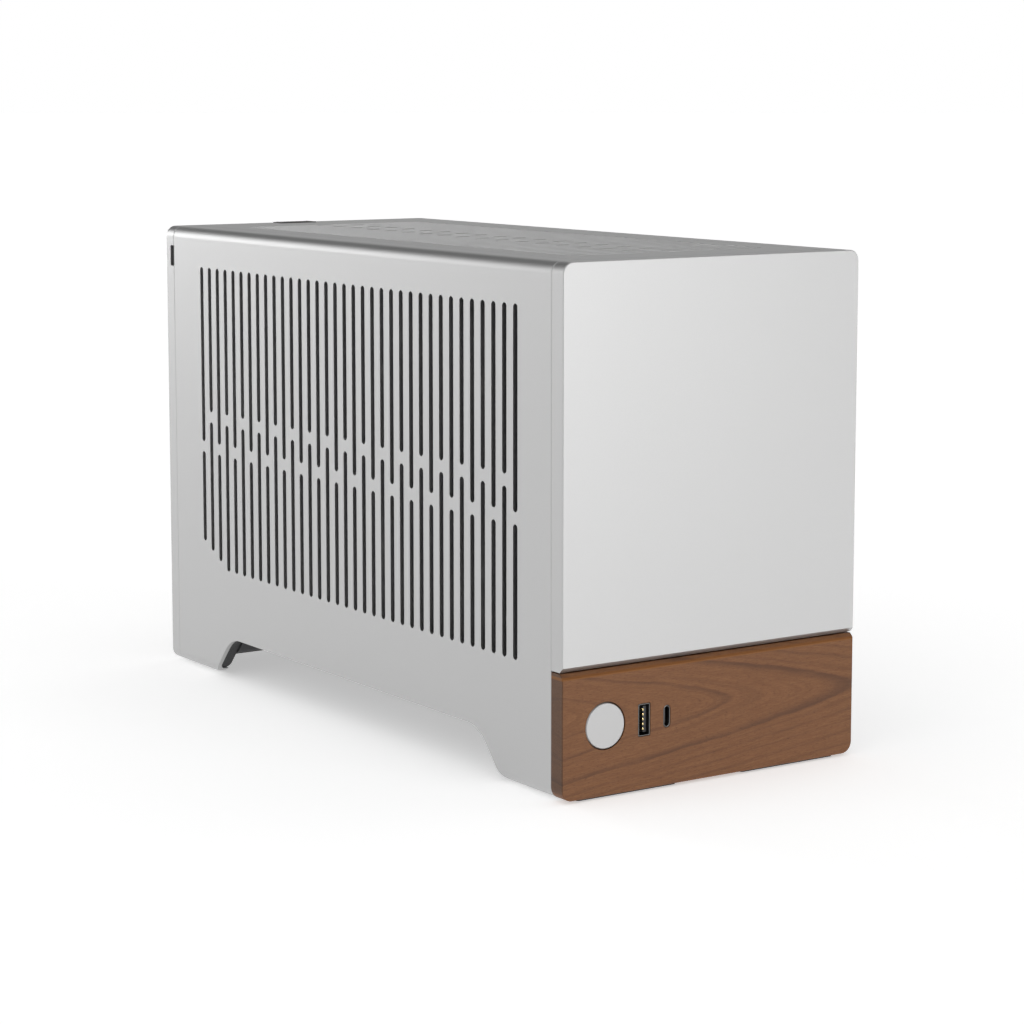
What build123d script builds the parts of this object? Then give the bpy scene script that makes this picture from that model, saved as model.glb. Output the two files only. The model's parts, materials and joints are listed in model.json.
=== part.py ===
from build123d import *
import os
from math import cos, radians, sin, tan

# A small desktop computer tower, millimetres.
# X runs to the right seen from the front, the front faces -Y, +Z is up.
# The origin is on the floor, midway between the sides and between the front and back faces.

# Driving dimensions of the case
WIDTH = 153.0
LENGTH = 343.0
HEIGHT = 218.7
FOOT = 1.0                  # what the rubber feet lift the body by
EDGE_R = 5.0                # outer radius along the four long edges
SHEET = 2.0                 # aluminium side and top panels
SEAM = 0.3                  # gap between the side panels, the lid and the chassis
END_SEAM = 0.15             # hairline gap at the front panels and the rear bezel
EDGE = 0.35                 # small chamfer on visible edges
SEAM_EDGE = 0.25            # the same along the hairline gaps
END_DEPTH = 8.0             # depth of the front panels and of the rear bezel
WOOD_TOP = 53.4             # top of the wooden front panel
GROOVE = 0.6                # shadow gap between aluminium and wood
GROOVE_CHAMFER = 2.0
STEEL = 1.2                 # chassis sheet
WALL = 1.5                  # chassis front and rear walls

# Places that follow from them
X_SIDE = WIDTH / 2
Y_END = LENGTH / 2
Y_SEAM = Y_END - END_DEPTH
Y_PANEL = Y_SEAM - END_SEAM
X_INNER = X_SIDE - SHEET - SEAM
Y_WALL = Y_SEAM - WALL
BODY_MID = (HEIGHT + FOOT) / 2

# Feet and arch under the sides
ARCH_TOP = 21.0
ARCH_FRONT = -110.2
ARCH_REAR = 108.7
ARCH_SLOPE = 48.5
ARCH_R = 18.0
LEG_R = 10.0
TRAY_LOW = 11.0

# Vent slots of the side and top panels
SLOT_COUNT = 35
SLOT_PITCH = 8.0
SLOT_REAR = 134.2
SLOT_WIDTH = 3.2
SLOT_TOP = 200.3
SLOT_BOTTOM = 53.9
SLOT_STEP = 4.0             # the last three rear slots end higher and higher
BRIDGE = 5.0
BRIDGE_EVEN = 112.6
BRIDGE_ODD = 127.6
TOP_SLOT_REACH = 50.5
TOP_BRIDGE = 7.5

# Side panels hinge on rounded rails inside their lower edge
HINGE_X = X_SIDE - EDGE_R
HINGE_Z = FOOT + EDGE_R
HINGE_R = 2.7
LIP = 2.0                   # flat past the lower bend
SEAM_X = 62.3               # where the side panels end on top

# Front controls
BUTTON_X = -55.1
PORT_Z = 30.0
BUTTON_R = 9.7
BUTTON_TRAVEL = 1.2
USB_A_X = -35.5
USB_A = (5.9, 13.4)
USB_C_X = -23.9
USB_C = (3.3, 9.1)

# Pull tab at the top's rear edge
TAB_X = -6.4
TAB_W = 20.4
TAB_T = 1.6
TAB_HOLD = 1.5              # how far it reaches onto the lid

# Inside
SPINE_X = -6.0
BOARD = 170.0
BOARD_X = -12.0
BOARD_T = 1.6
BOARD_Y = 160.5
BOARD_Z = 40.0
IO_LOW = 44.0
IO_SIZE = (44.45, 158.75)
IO_X = -31.0
PSU_X = (-70.5, -7.0)
PSU_Y = (-128.0, -28.0)
PSU_Z = (62.0, 187.0)
PSU_FAN_Y = -78.0
PSU_FAN_Z = 124.5
PSU_FAN_R = 43.0
CARD_X = 10.5
CARD_Y = (-80.0, 160.0)
CARD_Z = (82.0, 184.0)
CARD_FAN_Y = (98.0, -18.0)
CARD_FAN_Z = 133.0
CARD_FAN_R = 45.0
COOLER_Y = 82.0
COOLER_Z = 140.0
COOLER_SIDE = 92.0
CPU_FAN_R = 42.5
INLET_X = 38.0
INLET_Z = 53.0
TRAY_X = HINGE_X - HINGE_R - 0.1
CARD_WINDOW = (38.0, 135.5, 55.0, 103.0)
RAM_Y = (8.0, 17.0)
RAM_Z = (60.0, 193.0)
PCIE_Y = (14.0, 104.0)
PCIE_Z = 47.0
RIBBON_Y = (20.0, 98.0)
CPU_FAN_X = (-62.6, -46.6)
PSU_FAN_X = (PSU_X[0] + 1.0, PSU_X[0] + 14.5)
FAN_SIDE = 92.0
PSU_INLET = (-38.0, 160.0)
ROCKER = (-38.0, 88.0)
ROCKER_AXIS_Y = PSU_Y[0] + 1.0
ROCKER_TILT = 9.0           # leans this way when off, and as far the other way when on
SHROUD_X = (CARD_X + 8.0, CARD_X + 47.0)
SLEEVE_R = 12.6             # the button's guide sleeve
LID_NOSE = 0.99             # the lid's rounded front edge, which it turns about


def block(x, y, z):
    """A box between the given pairs of coordinates."""
    size = Box(abs(x[1] - x[0]), abs(y[1] - y[0]), abs(z[1] - z[0]))
    return Pos(sum(x) / 2, sum(y) / 2, sum(z) / 2) * size


def along_y(sketch, y0, y1):
    """Extrude a sketch drawn in X and Z from y0 to y1."""
    plane = Plane(origin=(0, y1, 0), x_dir=(1, 0, 0), z_dir=(0, -1, 0))
    return extrude(plane * sketch, amount=y1 - y0)


def along_x(sketch, x0, x1):
    """Extrude a sketch drawn in Y and Z from x0 to x1."""
    plane = Plane(origin=(x0, 0, 0), x_dir=(0, 1, 0), z_dir=(1, 0, 0))
    return extrude(plane * sketch, amount=x1 - x0)


def disc_x(x0, x1, y, z, radius):
    """A cylinder along X."""
    return along_x(Pos(y, z) * Circle(radius), x0, x1)


def disc_y(y0, y1, x, z, radius):
    """A cylinder along Y."""
    return along_y(Pos(x, z) * Circle(radius), y0, y1)


def rect(x, z, width, height, radius=0.0):
    """A rectangle centred at (x, z), with rounded corners if a radius is given."""
    if radius:
        return Pos(x, z) * RectangleRounded(width, height, radius)
    return Pos(x, z) * Rectangle(width, height)


def body_section(inset=0.0):
    """The body's cross-section, seen from the front."""
    radius = max(EDGE_R - inset, 0.5)
    return rect(0, BODY_MID, WIDTH - 2 * inset, HEIGHT - FOOT - 2 * inset, radius)


def body_slice(y0, y1, front_edge, rear_edge):
    """A solid slice of the body with a chamfer round each end."""
    solid = along_y(body_section(), y0, y1)
    solid = chamfer(solid.faces().sort_by(Axis.Y)[0].edges(), front_edge)
    return chamfer(solid.faces().sort_by(Axis.Y)[-1].edges(), rear_edge)


def bevel_cut(z, up):
    """What a long chamfer takes off the front edge at height z: upwards (+1) or downwards (-1)."""
    reach = GROOVE_CHAMFER + 1
    outline = Polyline(
        (-Y_END - 1, z - up),
        (-Y_END - 1, z + up * reach),
        (-Y_END + reach, z - up),
        close=True,
    )
    return along_x(make_face(outline), -X_SIDE - 1, X_SIDE + 1)


def arch(grow=0.0):
    """The side view of the open arch, as a face; grow makes it larger all round."""
    run = (ARCH_TOP - FOOT) / tan(radians(ARCH_SLOPE))
    side = grow / sin(radians(ARCH_SLOPE))
    lift = grow / tan(radians(ARCH_SLOPE))
    front_top = ARCH_FRONT - side + lift
    rear_top = ARCH_REAR + side - lift
    outline = Polyline(
        (ARCH_FRONT - run - 30, -20),
        (ARCH_FRONT - run - 30, FOOT),
        (ARCH_FRONT - run - side, FOOT),
        (front_top, ARCH_TOP + grow),
        (rear_top, ARCH_TOP + grow),
        (ARCH_REAR + run + side, FOOT),
        (ARCH_REAR + run + 30, FOOT),
        (ARCH_REAR + run + 30, -20),
        close=True,
    )
    face = make_face(outline)
    corners = face.vertices()
    tops = [v for v in corners if abs(v.Y - ARCH_TOP - grow) < 0.01]
    face = fillet(tops, ARCH_R)
    legs = [v for v in face.vertices() if abs(v.Y - FOOT) < 0.01 and abs(v.X) < ARCH_REAR + run + 15]
    return fillet(legs, LEG_R)


def slot_columns():
    """Index and Y of each column of vent slots, from the rear."""
    return [(i, SLOT_REAR - SLOT_PITCH * i) for i in range(SLOT_COUNT)]


def slot(y, low, high):
    """One upright slot with round ends, in the side view."""
    return Pos(y, (low + high) / 2) * SlotOverall(high - low, SLOT_WIDTH, rotation=90)


def side_slots():
    """The side panel's vent field: two slots per column, with staggered bridges."""
    slots = []
    for i, y in slot_columns():
        bridge = BRIDGE_ODD if i % 2 else BRIDGE_EVEN
        bottom = SLOT_BOTTOM + SLOT_STEP * max(0, 3 - i)
        slots.append(slot(y, bottom, bridge - BRIDGE / 2))
        slots.append(slot(y, bridge + BRIDGE / 2, SLOT_TOP))
    return [along_x(s, -X_SIDE - 1, -X_SIDE + SHEET + 1) for s in slots]


def left_side_panel():
    """A folded sheet: outer wall, a bend and flange on top, a bend and short lip below."""
    shell = body_slice(-Y_PANEL, Y_PANEL, SEAM_EDGE, SEAM_EDGE)
    shell -= along_y(body_section(SHEET), -Y_PANEL - 1, Y_PANEL + 1)
    shell -= block((-SEAM_X, X_SIDE + 1), (-Y_END, Y_END), (HEIGHT - 20, HEIGHT + 1))
    shell -= block((-HINGE_X + LIP, X_SIDE + 1), (-Y_END, Y_END), (0, HEIGHT - 19))
    shell -= along_x(arch(), -X_SIDE - 1, 0)
    return shell - side_slots()


def right_side_panel():
    """The mirror image of the left one."""
    return mirror(left_side_panel(), about=Plane.YZ)


def tab_pocket():
    """Room for the pull tab in the top panel's rear edge and in the rear bezel."""
    half = TAB_W / 2 + 0.2
    across = (TAB_X - half, TAB_X + half)
    pocket = block(across, (Y_PANEL - TAB_HOLD, Y_END + 1), (HEIGHT - 1.3, HEIGHT + 1))
    drop = block(across, (Y_END - TAB_T, Y_END + 1), (HEIGHT - 15.3, HEIGHT))
    return pocket + drop


def top_panel():
    """The vented lid between the side panels' flanges."""
    half = SEAM_X - SEAM
    panel = block((-half, half), (-Y_PANEL, Y_PANEL), (HEIGHT - SHEET, HEIGHT))
    panel = fillet(panel.faces().sort_by(Axis.Y)[0].edges().filter_by(Axis.X), LID_NOSE)
    panel = chamfer(panel.faces().sort_by(Axis.Z)[-1].edges().filter_by(Axis.Y), SEAM_EDGE)
    slots = []
    for i, y in slot_columns():
        bridge = TOP_BRIDGE if i % 2 else -TOP_BRIDGE
        left, right = bridge - BRIDGE / 2, bridge + BRIDGE / 2
        for low, high in ((-TOP_SLOT_REACH, left), (right, TOP_SLOT_REACH)):
            shape = Pos((low + high) / 2, y) * SlotOverall(high - low, SLOT_WIDTH)
            slots.append(Pos(0, 0, HEIGHT - SHEET - 1) * extrude(shape, amount=SHEET + 2))
    return panel - slots - tab_pocket()


def top_pull_tab():
    """A strap of leather that lies over the bezel's edge and hangs down its back."""
    across = (TAB_X - TAB_W / 2, TAB_X + TAB_W / 2)
    flat = block(across, (Y_PANEL - TAB_HOLD, Y_END), (HEIGHT - 1.2, HEIGHT - 1.2 + TAB_T))
    hang = block(across, (Y_END - TAB_T + 0.1, Y_END), (HEIGHT - 15, HEIGHT))
    strap = flat + hang
    back = strap.edges().filter_by(Axis.X).group_by(Axis.Z)[-1].sort_by(Axis.Y)[-1]
    return fillet(back, 1.2)


def front_panel():
    """The aluminium upper front: a plate milled hollow behind, rounded on its long edges."""
    low = WOOD_TOP + GROOVE
    plate = body_slice(-Y_END, -Y_SEAM, EDGE, SEAM_EDGE)
    plate -= block((-X_SIDE - 1, X_SIDE + 1), (-Y_END - 1, 0), (0, low))
    plate -= bevel_cut(low, 1)
    middle = (low + HEIGHT) / 2
    pocket = rect(0, middle, WIDTH - 14, HEIGHT - low - 14, 4)
    plate -= along_y(pocket, -Y_END + 4, -Y_SEAM)
    return plate


def front_wood_panel():
    """The walnut lower front with holes for the button and both ports."""
    plate = body_slice(-Y_END, -Y_SEAM, EDGE, SEAM_EDGE)
    plate -= block((-X_SIDE - 1, X_SIDE + 1), (-Y_END - 1, 0), (WOOD_TOP, HEIGHT + 1))
    plate -= bevel_cut(WOOD_TOP, -1)
    plate -= disc_y(-Y_END - 1, -Y_SEAM + 1, BUTTON_X, PORT_Z, BUTTON_R + 0.3)
    opening = rect(USB_A_X, PORT_Z, USB_A[0] + 0.5, USB_A[1] + 0.5, 0.8)
    plate -= along_y(opening, -Y_END - 1, -Y_SEAM + 1)
    opening = Pos(USB_C_X, PORT_Z) * SlotOverall(USB_C[1] + 0.5, USB_C[0] + 0.5, rotation=90)
    return plate - along_y(opening, -Y_END - 1, -Y_SEAM + 1)


def rear_bezel():
    """The aluminium frame round the back, with a latch notch and the tab's recess."""
    low, high = TRAY_LOW + STEEL + 0.8, HEIGHT - 3.5
    opening = rect(0, (low + high) / 2, WIDTH - 7, high - low, 2.5)
    ring = body_slice(Y_SEAM, Y_END, SEAM_EDGE, EDGE) - along_y(opening, Y_SEAM - 1, Y_END + 1)
    notch = block((-X_SIDE - 1, -X_SIDE + 4), (Y_SEAM - 1, 167.1), (199.3, 209.4))
    corners = notch.edges().filter_by(Axis.X).group_by(Axis.Y)[-1]
    return ring - fillet(corners, 1.2) - tab_pocket()


def rubber_feet():
    """Four rubber strips: a pair under the wooden front, a pair under the rear bezel."""
    feet = []
    for y in (-167.0, 167.0):
        for x in (-42.4, 42.4):
            strip = Pos(x, y) * RectangleRounded(50, 4.6, 1.0)
            feet.append(extrude(strip, amount=FOOT))
    return Compound(feet)


def power_button_cap():
    """A turned aluminium cap with a collar behind the wood and a stem to the switch."""
    cap = disc_y(-Y_END, -Y_SEAM + 0.2, BUTTON_X, PORT_Z, BUTTON_R)
    rim = cap.edges().filter_by(GeomType.CIRCLE).sort_by(Axis.Y)[0]
    cap = chamfer(rim, 0.5)
    cap += disc_y(-Y_SEAM + 0.2, -Y_SEAM + 1.7, BUTTON_X, PORT_Z, BUTTON_R + 1.3)
    return cap + disc_y(-Y_SEAM + 1.7, -154.8, BUTTON_X, PORT_Z, 3.0)


def power_button_housing():
    """The guide sleeve behind the wooden panel."""
    tube = disc_y(-Y_SEAM + 0.1, -150.2, BUTTON_X, PORT_Z, SLEEVE_R)
    return tube - disc_y(-Y_SEAM, -150, BUTTON_X, PORT_Z, 11.4)


def front_usb_a_port():
    """The USB-A port: a folded steel shell and the tongue that carries the contacts."""
    outer = rect(USB_A_X, PORT_Z, USB_A[0], USB_A[1], 0.6)
    inner = rect(USB_A_X, PORT_Z, USB_A[0] - 0.7, USB_A[1] - 0.7, 0.3)
    shell = along_y(outer - inner, -Y_END + 0.1, -150) + along_y(inner, -151, -150)
    tongue = along_y(rect(USB_A_X + 0.95, PORT_Z, 1.9, 11.0), -Y_END + 1.2, -151)
    return Compound([shell, tongue])


def front_usb_c_port():
    """The USB-C port: a drawn steel shell and its thin tongue."""
    outer = Pos(USB_C_X, PORT_Z) * SlotOverall(USB_C[1], USB_C[0], rotation=90)
    inner = Pos(USB_C_X, PORT_Z) * SlotOverall(USB_C[1] - 0.7, USB_C[0] - 0.7, rotation=90)
    shell = along_y(outer - inner, -Y_END + 0.1, -150) + along_y(inner, -151, -150)
    tongue = along_y(rect(USB_C_X, PORT_Z, 0.7, 6.6, 0.3), -Y_END + 1.6, -151)
    return Compound([shell, tongue])


def front_io_board():
    """The small circuit board behind the front, with the power switch on it."""
    board = block((-66, -16), (-150, -148.4), (15.5, 46))
    switch = block((BUTTON_X - 3, BUTTON_X + 3), (-153.4, -150), (PORT_Z - 3, PORT_Z + 3))
    return board + switch


def front_wall_outline():
    """The chassis end wall, inside the side panels and above the crossbars."""
    bottom, middle, top = TRAY_LOW + STEEL, HINGE_Z + 26, HEIGHT - SHEET - SEAM
    wide = rect(0, (middle + top) / 2, 2 * X_INNER, top - middle, 2.6)
    low = rect(0, (bottom + middle + 10) / 2, 2 * TRAY_X, middle + 10 - bottom)
    return wide + low


def chassis_front_wall():
    """The steel wall that carries the front panels."""
    wall = along_y(front_wall_outline(), -Y_SEAM, -Y_WALL)
    wall -= disc_y(-Y_SEAM - 1, -Y_WALL + 1, BUTTON_X, PORT_Z, SLEEVE_R + 0.2)
    wall -= along_y(rect(USB_A_X, PORT_Z, 7.0, 14.5, 1), -Y_SEAM - 1, -Y_WALL + 1)
    wall -= along_y(rect(USB_C_X, PORT_Z, 4.6, 10.4, 1), -Y_SEAM - 1, -Y_WALL + 1)
    for i in range(9):
        vent = Pos(-40 + 10 * i, 130) * SlotOverall(120, 4, rotation=90)
        wall -= along_y(vent, -Y_SEAM - 1, -Y_WALL + 1)
    return wall


def rear_screws():
    """Places of the screws in the rear wall, as X, Z."""
    spine = [(SPINE_X + 8, z) for z in (60, 186)]
    return spine + [(INLET_X - 20, INLET_Z), (INLET_X + 20, INLET_Z)]


def chassis_rear_panel():
    """The steel rear wall with its openings for board, card and mains inlet."""
    wall = along_y(front_wall_outline(), Y_WALL, Y_SEAM)
    wall -= along_y(rect(IO_X, IO_LOW + IO_SIZE[1] / 2, IO_SIZE[0], IO_SIZE[1], 1), Y_WALL - 1, Y_SEAM + 1)
    x, z, width, height = CARD_WINDOW
    wall -= along_y(rect(x, z, width, height, 1), Y_WALL - 1, Y_SEAM + 1)
    wall -= along_y(rect(INLET_X, INLET_Z, 28, 20.5, 1.5), Y_WALL - 1, Y_SEAM + 1)
    for sx, sz in rear_screws():
        wall -= disc_y(Y_WALL - 1, Y_SEAM + 1, sx, sz, 1.6)
    for i in range(11):
        vent = Pos(-50 + 10 * i, 208) * SlotOverall(7, 3)
        wall -= along_y(vent, Y_WALL - 1, Y_SEAM + 1)
    for i in range(4):
        for sx in (-70, -60):
            vent = Pos(sx, 70 + 30 * i) * SlotOverall(22, 4, rotation=90)
            wall -= along_y(vent, Y_WALL - 1, Y_SEAM + 1)
    return wall


def bent_sheet(points, radius, thickness):
    """The section of a bent strip whose middle follows the given points."""
    return trace(FilletPolyline(*points, radius=radius), line_width=thickness)


def chassis_bottom_tray():
    """The steel floor, bent down over both pairs of legs, with a fan pattern's four holes."""
    mid = STEEL / 2
    run = (ARCH_TOP - TRAY_LOW) / tan(radians(ARCH_SLOPE))
    points = [
        (-Y_WALL + 0.01, TRAY_LOW + mid),
        (ARCH_FRONT - run, TRAY_LOW + mid),
        (ARCH_FRONT, ARCH_TOP + mid),
        (ARCH_REAR, ARCH_TOP + mid),
        (ARCH_REAR + run, TRAY_LOW + mid),
        (Y_WALL - 0.01, TRAY_LOW + mid),
    ]
    tray = along_x(bent_sheet(points, 6, STEEL), -TRAY_X, TRAY_X)
    for dx in (-52.5, 52.5):
        for dy in (-52.5, 52.5):
            tray -= Pos(dx, -20 + dy, ARCH_TOP) * Cylinder(2.2, 10)
    for i in range(12):
        for x in (-30, 30):
            vent = Pos(x, -64 + 8 * i) * SlotOverall(46, 4)
            tray -= Pos(0, 0, ARCH_TOP - 4) * extrude(vent, amount=8)
    return tray


def hinge_rail(side):
    """A steel rail along one side whose rounded foot the side panel's lower bend turns round."""
    low = HINGE_Z
    high = HINGE_Z + 24
    section = rect(side * HINGE_X, (low + high) / 2, 2 * HINGE_R, high - low)
    section += Pos(side * HINGE_X, low) * Circle(HINGE_R)
    rail = along_y(section, -Y_PANEL + 1.3, Y_PANEL - 1.3)
    return rail - along_x(arch(0.6), -X_SIDE - 1, X_SIDE + 1)


def top_rails():
    """Two angles under the joints between side panels and lid."""
    high = HEIGHT - SHEET - SEAM
    flat = block((57.0, HINGE_X - 0.3), (-Y_WALL, Y_WALL), (high - STEEL, high))
    right = flat + block((57.0, 57.0 + STEEL), (-Y_WALL, Y_WALL), (high - 12, high - STEEL))
    return Compound([right, mirror(right, about=Plane.YZ)])


def spine_plate():
    """The upright steel plate between both chambers, with a flange at each end."""
    plate = block((SPINE_X, SPINE_X + STEEL), (-Y_WALL, Y_WALL), (31, 213))
    plate += block((SPINE_X, SPINE_X + 14), (Y_WALL - STEEL, Y_WALL), (52, 194))
    plate += block((SPINE_X, SPINE_X + 14), (-Y_WALL, -Y_WALL + STEEL), (52, 194))
    for x, z in rear_screws()[:2]:
        plate -= disc_y(Y_WALL - STEEL - 1, Y_WALL + 1, x, z, 1.6)
    for y, z in standoff_places():
        plate -= disc_x(SPINE_X - 1, SPINE_X + STEEL + 1, y, z, 1.6)
    return plate


def panel_catches():
    """Spring clips on the rails that hold the side panels and the lid shut."""
    high = HEIGHT - SHEET - SEAM - STEEL
    clips = []
    for side in (-1, 1):
        for y in (-140.0, 140.0):
            outer = block(sorted((side * 62.0, side * 70.0)), (y - 6, y + 6), (high - 5, high))
            edges = outer.edges().filter_by(Axis.Y).group_by(Axis.Z)[0]
            clips.append(fillet(edges, 1.5))
    return Compound(clips)


def rear_wall_screws():
    """The pan-head screws of the rear wall."""
    screws = []
    for x, z in rear_screws():
        head_y = Y_SEAM + (2.4 if x > SPINE_X + 8 else 0)
        head = disc_y(head_y, head_y + 2.0, x, z, 2.9)
        head = fillet(head.edges().filter_by(GeomType.CIRCLE).sort_by(Axis.Y)[-1], 1.2)
        head -= Pos(x, head_y + 2.0, z) * Box(3.2, 2.0, 0.8)
        head -= Pos(x, head_y + 2.0, z) * Box(0.8, 2.0, 3.2)
        screws.append(head + disc_y(Y_WALL - 3, head_y, x, z, 1.5))
    return screws


def standoff_places():
    """The board's four mounting holes, as Y, Z."""
    low_y = BOARD_Y - 10.2 - 154.94
    return [(y, z) for y in (low_y, BOARD_Y - 10.2) for z in (BOARD_Z + 6.3, BOARD_Z + 6.3 + 157.48)]


def motherboard_standoffs():
    """Brass hexagons between the spine and the board."""
    posts = []
    for y, z in standoff_places():
        hexagon = Pos(y, z) * RegularPolygon(3.0, 6)
        post = along_x(hexagon, BOARD_X, SPINE_X) + disc_x(SPINE_X, SPINE_X + STEEL + 1, y, z, 1.5)
        posts.append(post)
    return Compound(posts)


def board_screws():
    """The board's screws, on its component side."""
    face = BOARD_X - BOARD_T
    screws = []
    for y, z in standoff_places():
        head = disc_x(face - 1.8, face, y, z, 2.9)
        head = fillet(head.edges().filter_by(GeomType.CIRCLE).sort_by(Axis.X)[0], 1.0)
        head -= Pos(face - 1.8, y, z) * Box(1.6, 3.2, 0.8)
        head -= Pos(face - 1.8, y, z) * Box(1.6, 0.8, 3.2)
        screws.append(head)
    return screws


def case_screws():
    """All the M3 screws of the case, as separate solids."""
    return Compound(rear_wall_screws() + board_screws())


def motherboard_pcb():
    """The mini-ITX board, 170 mm square."""
    board = block((BOARD_X - BOARD_T, BOARD_X), (BOARD_Y - BOARD, BOARD_Y), (BOARD_Z, BOARD_Z + BOARD))
    return fillet(board.edges().filter_by(Axis.X), 1.5)


def io_port_places():
    """The board's rear ports: centre X, centre Z, width, height, number of mouths."""
    x = BOARD_X - BOARD_T - 8.5
    return [
        (x, 188.0, 15.0, 13.0, 2),
        (x, 169.5, 15.0, 14.0, 2),
        (x, 151.5, 15.0, 14.0, 2),
        (x, 132.0, 15.0, 16.0, 1),
        (x, 111.5, 15.0, 14.0, 2),
        (x, 92.5, 15.0, 14.0, 2),
    ]


def audio_places():
    """The three audio sockets: X, Z."""
    return [(BOARD_X - BOARD_T - 7.5, z) for z in (79.0, 68.0, 57.0)]


def rear_io_ports():
    """The metal port shells at the board's rear edge and the audio sockets."""
    face = BOARD_X - BOARD_T
    ports = []
    for x, z, width, height, mouths in io_port_places():
        shell = block((x - width / 2, x + width / 2), (142, 163.2), (z - height / 2, z + height / 2))
        shell += block((x, face), (143, 160), (z - height / 2, z + height / 2))
        step = height / mouths
        for i in range(mouths):
            middle = z - height / 2 + step * (i + 0.5)
            reach = step / 2 - 0.8
            shell -= block((x - 6.3, x + 6.3), (150, 164), (middle - reach, middle + reach))
            if mouths > 1:
                shell += block((x - 5.4, x + 5.4), (150, 161.5), (middle - 0.9, middle + 0.9))
        ports.append(shell)
    for x, z in audio_places():
        jack = block((x - 5, face), (146, 161.5), (z - 5.2, z + 5.2)) + disc_y(161.5, 164.2, x, z, 4.3)
        ports.append(jack - disc_y(150, 165, x, z, 1.9))
    return Compound(ports)


def io_shield():
    """The pressed plate that fills the board opening of the rear wall."""
    z_mid = IO_LOW + IO_SIZE[1] / 2
    plate = along_y(rect(IO_X, z_mid, IO_SIZE[0] - 0.2, IO_SIZE[1] - 0.2, 1), 162.4, 163.0)
    for x, z, width, height, _ in io_port_places():
        plate -= along_y(rect(x, z, width + 0.6, height + 0.6, 0.5), 161, 164)
    for x, z in audio_places():
        plate -= disc_y(161, 165, x, z, 4.6)
    for i in range(14):
        vent = Pos(-44, 54 + 10 * i) * SlotOverall(10, 2.4)
        plate -= along_y(vent, 161, 165)
    return plate


def ram_slots():
    """Both memory sockets."""
    face = BOARD_X - BOARD_T
    slots = []
    for y in RAM_Y:
        body = block((face - 7, face), (y - 3.2, y + 3.2), (RAM_Z[0] - 4, RAM_Z[1] + 4))
        for z in (RAM_Z[0] - 2, RAM_Z[1] + 2):
            body += block((face - 19, face), (y - 3.2, y + 3.2), (z - 2, z + 2))
        body -= block((face - 20, face - 2), (y - 0.75, y + 0.75), (RAM_Z[0] - 1, RAM_Z[1] + 1))
        slots.append(body)
    return Compound(slots)


def ram_modules():
    """Two memory modules standing in their sockets."""
    face = BOARD_X - BOARD_T
    modules = []
    for y in RAM_Y:
        stick = block((face - 33, face - 2.1), (y - 0.65, y + 0.65), (RAM_Z[0] - 0.7, RAM_Z[1] + 0.7))
        spreader = block((face - 34, face - 8), (y - 3.0, y + 3.0), (RAM_Z[0] + 1, RAM_Z[1] - 1))
        spreader = fillet(spreader.edges().filter_by(Axis.Z).group_by(Axis.X)[0], 1.2)
        modules.append(stick + spreader)
    return Compound(modules)


def cpu_package():
    """The socket with the processor in it."""
    face = BOARD_X - BOARD_T
    socket = along_x(rect(COOLER_Y, COOLER_Z, 48, 48), face - 4, face)
    return socket + along_x(rect(COOLER_Y, COOLER_Z, 32, 32), face - 7, face - 4)


def cooler_box(x, inset=0.0):
    """A square slab across the processor cooler."""
    half = COOLER_SIDE / 2 - inset
    return block(x, (COOLER_Y - half, COOLER_Y + half), (COOLER_Z - half, COOLER_Z + half))


def cpu_cooler_heatsink():
    """Base, heat pipes and a stack of fins."""
    face = BOARD_X - BOARD_T - 7
    sink = cooler_box((face - 5, face), 26)
    for i in range(23):
        y = COOLER_Y - 44 + 4 * i
        fin = block((face - 25, face - 10), (y - 0.25, y + 0.25), (COOLER_Z - 46, COOLER_Z + 46))
        sink += fin
    for z in (-30, -10, 10, 30):
        pipe = along_x(Pos(0, 0) * rect(COOLER_Y, COOLER_Z + z, 90, 6, 2.9), face - 20, face - 14)
        sink += pipe
        sink += along_x(rect(COOLER_Y, COOLER_Z + z, 6, 6), face - 14, face - 3)
    sink += block((face - 5, face - 1), (COOLER_Y - 18, COOLER_Y + 18), (COOLER_Z - 34, COOLER_Z + 34))
    return sink


def fan_frame(x, y, z, radius):
    """A square fan frame with a round duct, and a hub plate on four struts at its back."""
    half = FAN_SIDE / 2
    frame = block(x, (y - half, y + half), (z - half, z + half))
    frame = fillet(frame.edges().filter_by(Axis.X), 6)
    frame -= disc_x(x[0] - 1, x[1] + 1, y, z, radius + 1.2)
    frame += disc_x(x[1] - 2, x[1], y, z, 18)
    for turn in (45, 135):
        frame += Pos(x[1] - 1, y, z) * Rot(turn, 0, 0) * Box(2, 2 * radius + 4, 4)
    return frame


def cpu_fan_frame():
    """The processor fan's frame, on the fins."""
    return fan_frame(CPU_FAN_X, COOLER_Y, COOLER_Z, CPU_FAN_R)


def psu_fan_frame():
    """The power supply fan's frame, inside its case."""
    return fan_frame(PSU_FAN_X, PSU_FAN_Y, PSU_FAN_Z, PSU_FAN_R)


def rotor(x0, x1, y, z, radius, hub, blades, pitch=32.0):
    """An axial fan rotor about X: a hub cup and pitched blades."""
    wheel = disc_x(x0, x1, y, z, hub)
    wheel = fillet(wheel.edges().filter_by(GeomType.CIRCLE).sort_by(Axis.X)[0], 1.5)
    depth = (x1 - x0) - 1.5
    span = radius - hub + 2
    chord = depth / sin(radians(90 - pitch))
    for i in range(blades):
        blade = Box(chord, 1.6, span)
        blade = fillet(blade.edges().filter_by(Axis.Y).group_by(Axis.Z)[-1], min(4, chord / 3))
        blade = Pos(0, 0, hub - 2 + span / 2) * Rot(0, 0, pitch) * blade
        wheel += Pos((x0 + x1) / 2, y, z) * Rot(360 / blades * i, 0, 0) * blade
    return wheel & disc_x(x0, x1, y, z, radius)


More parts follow.
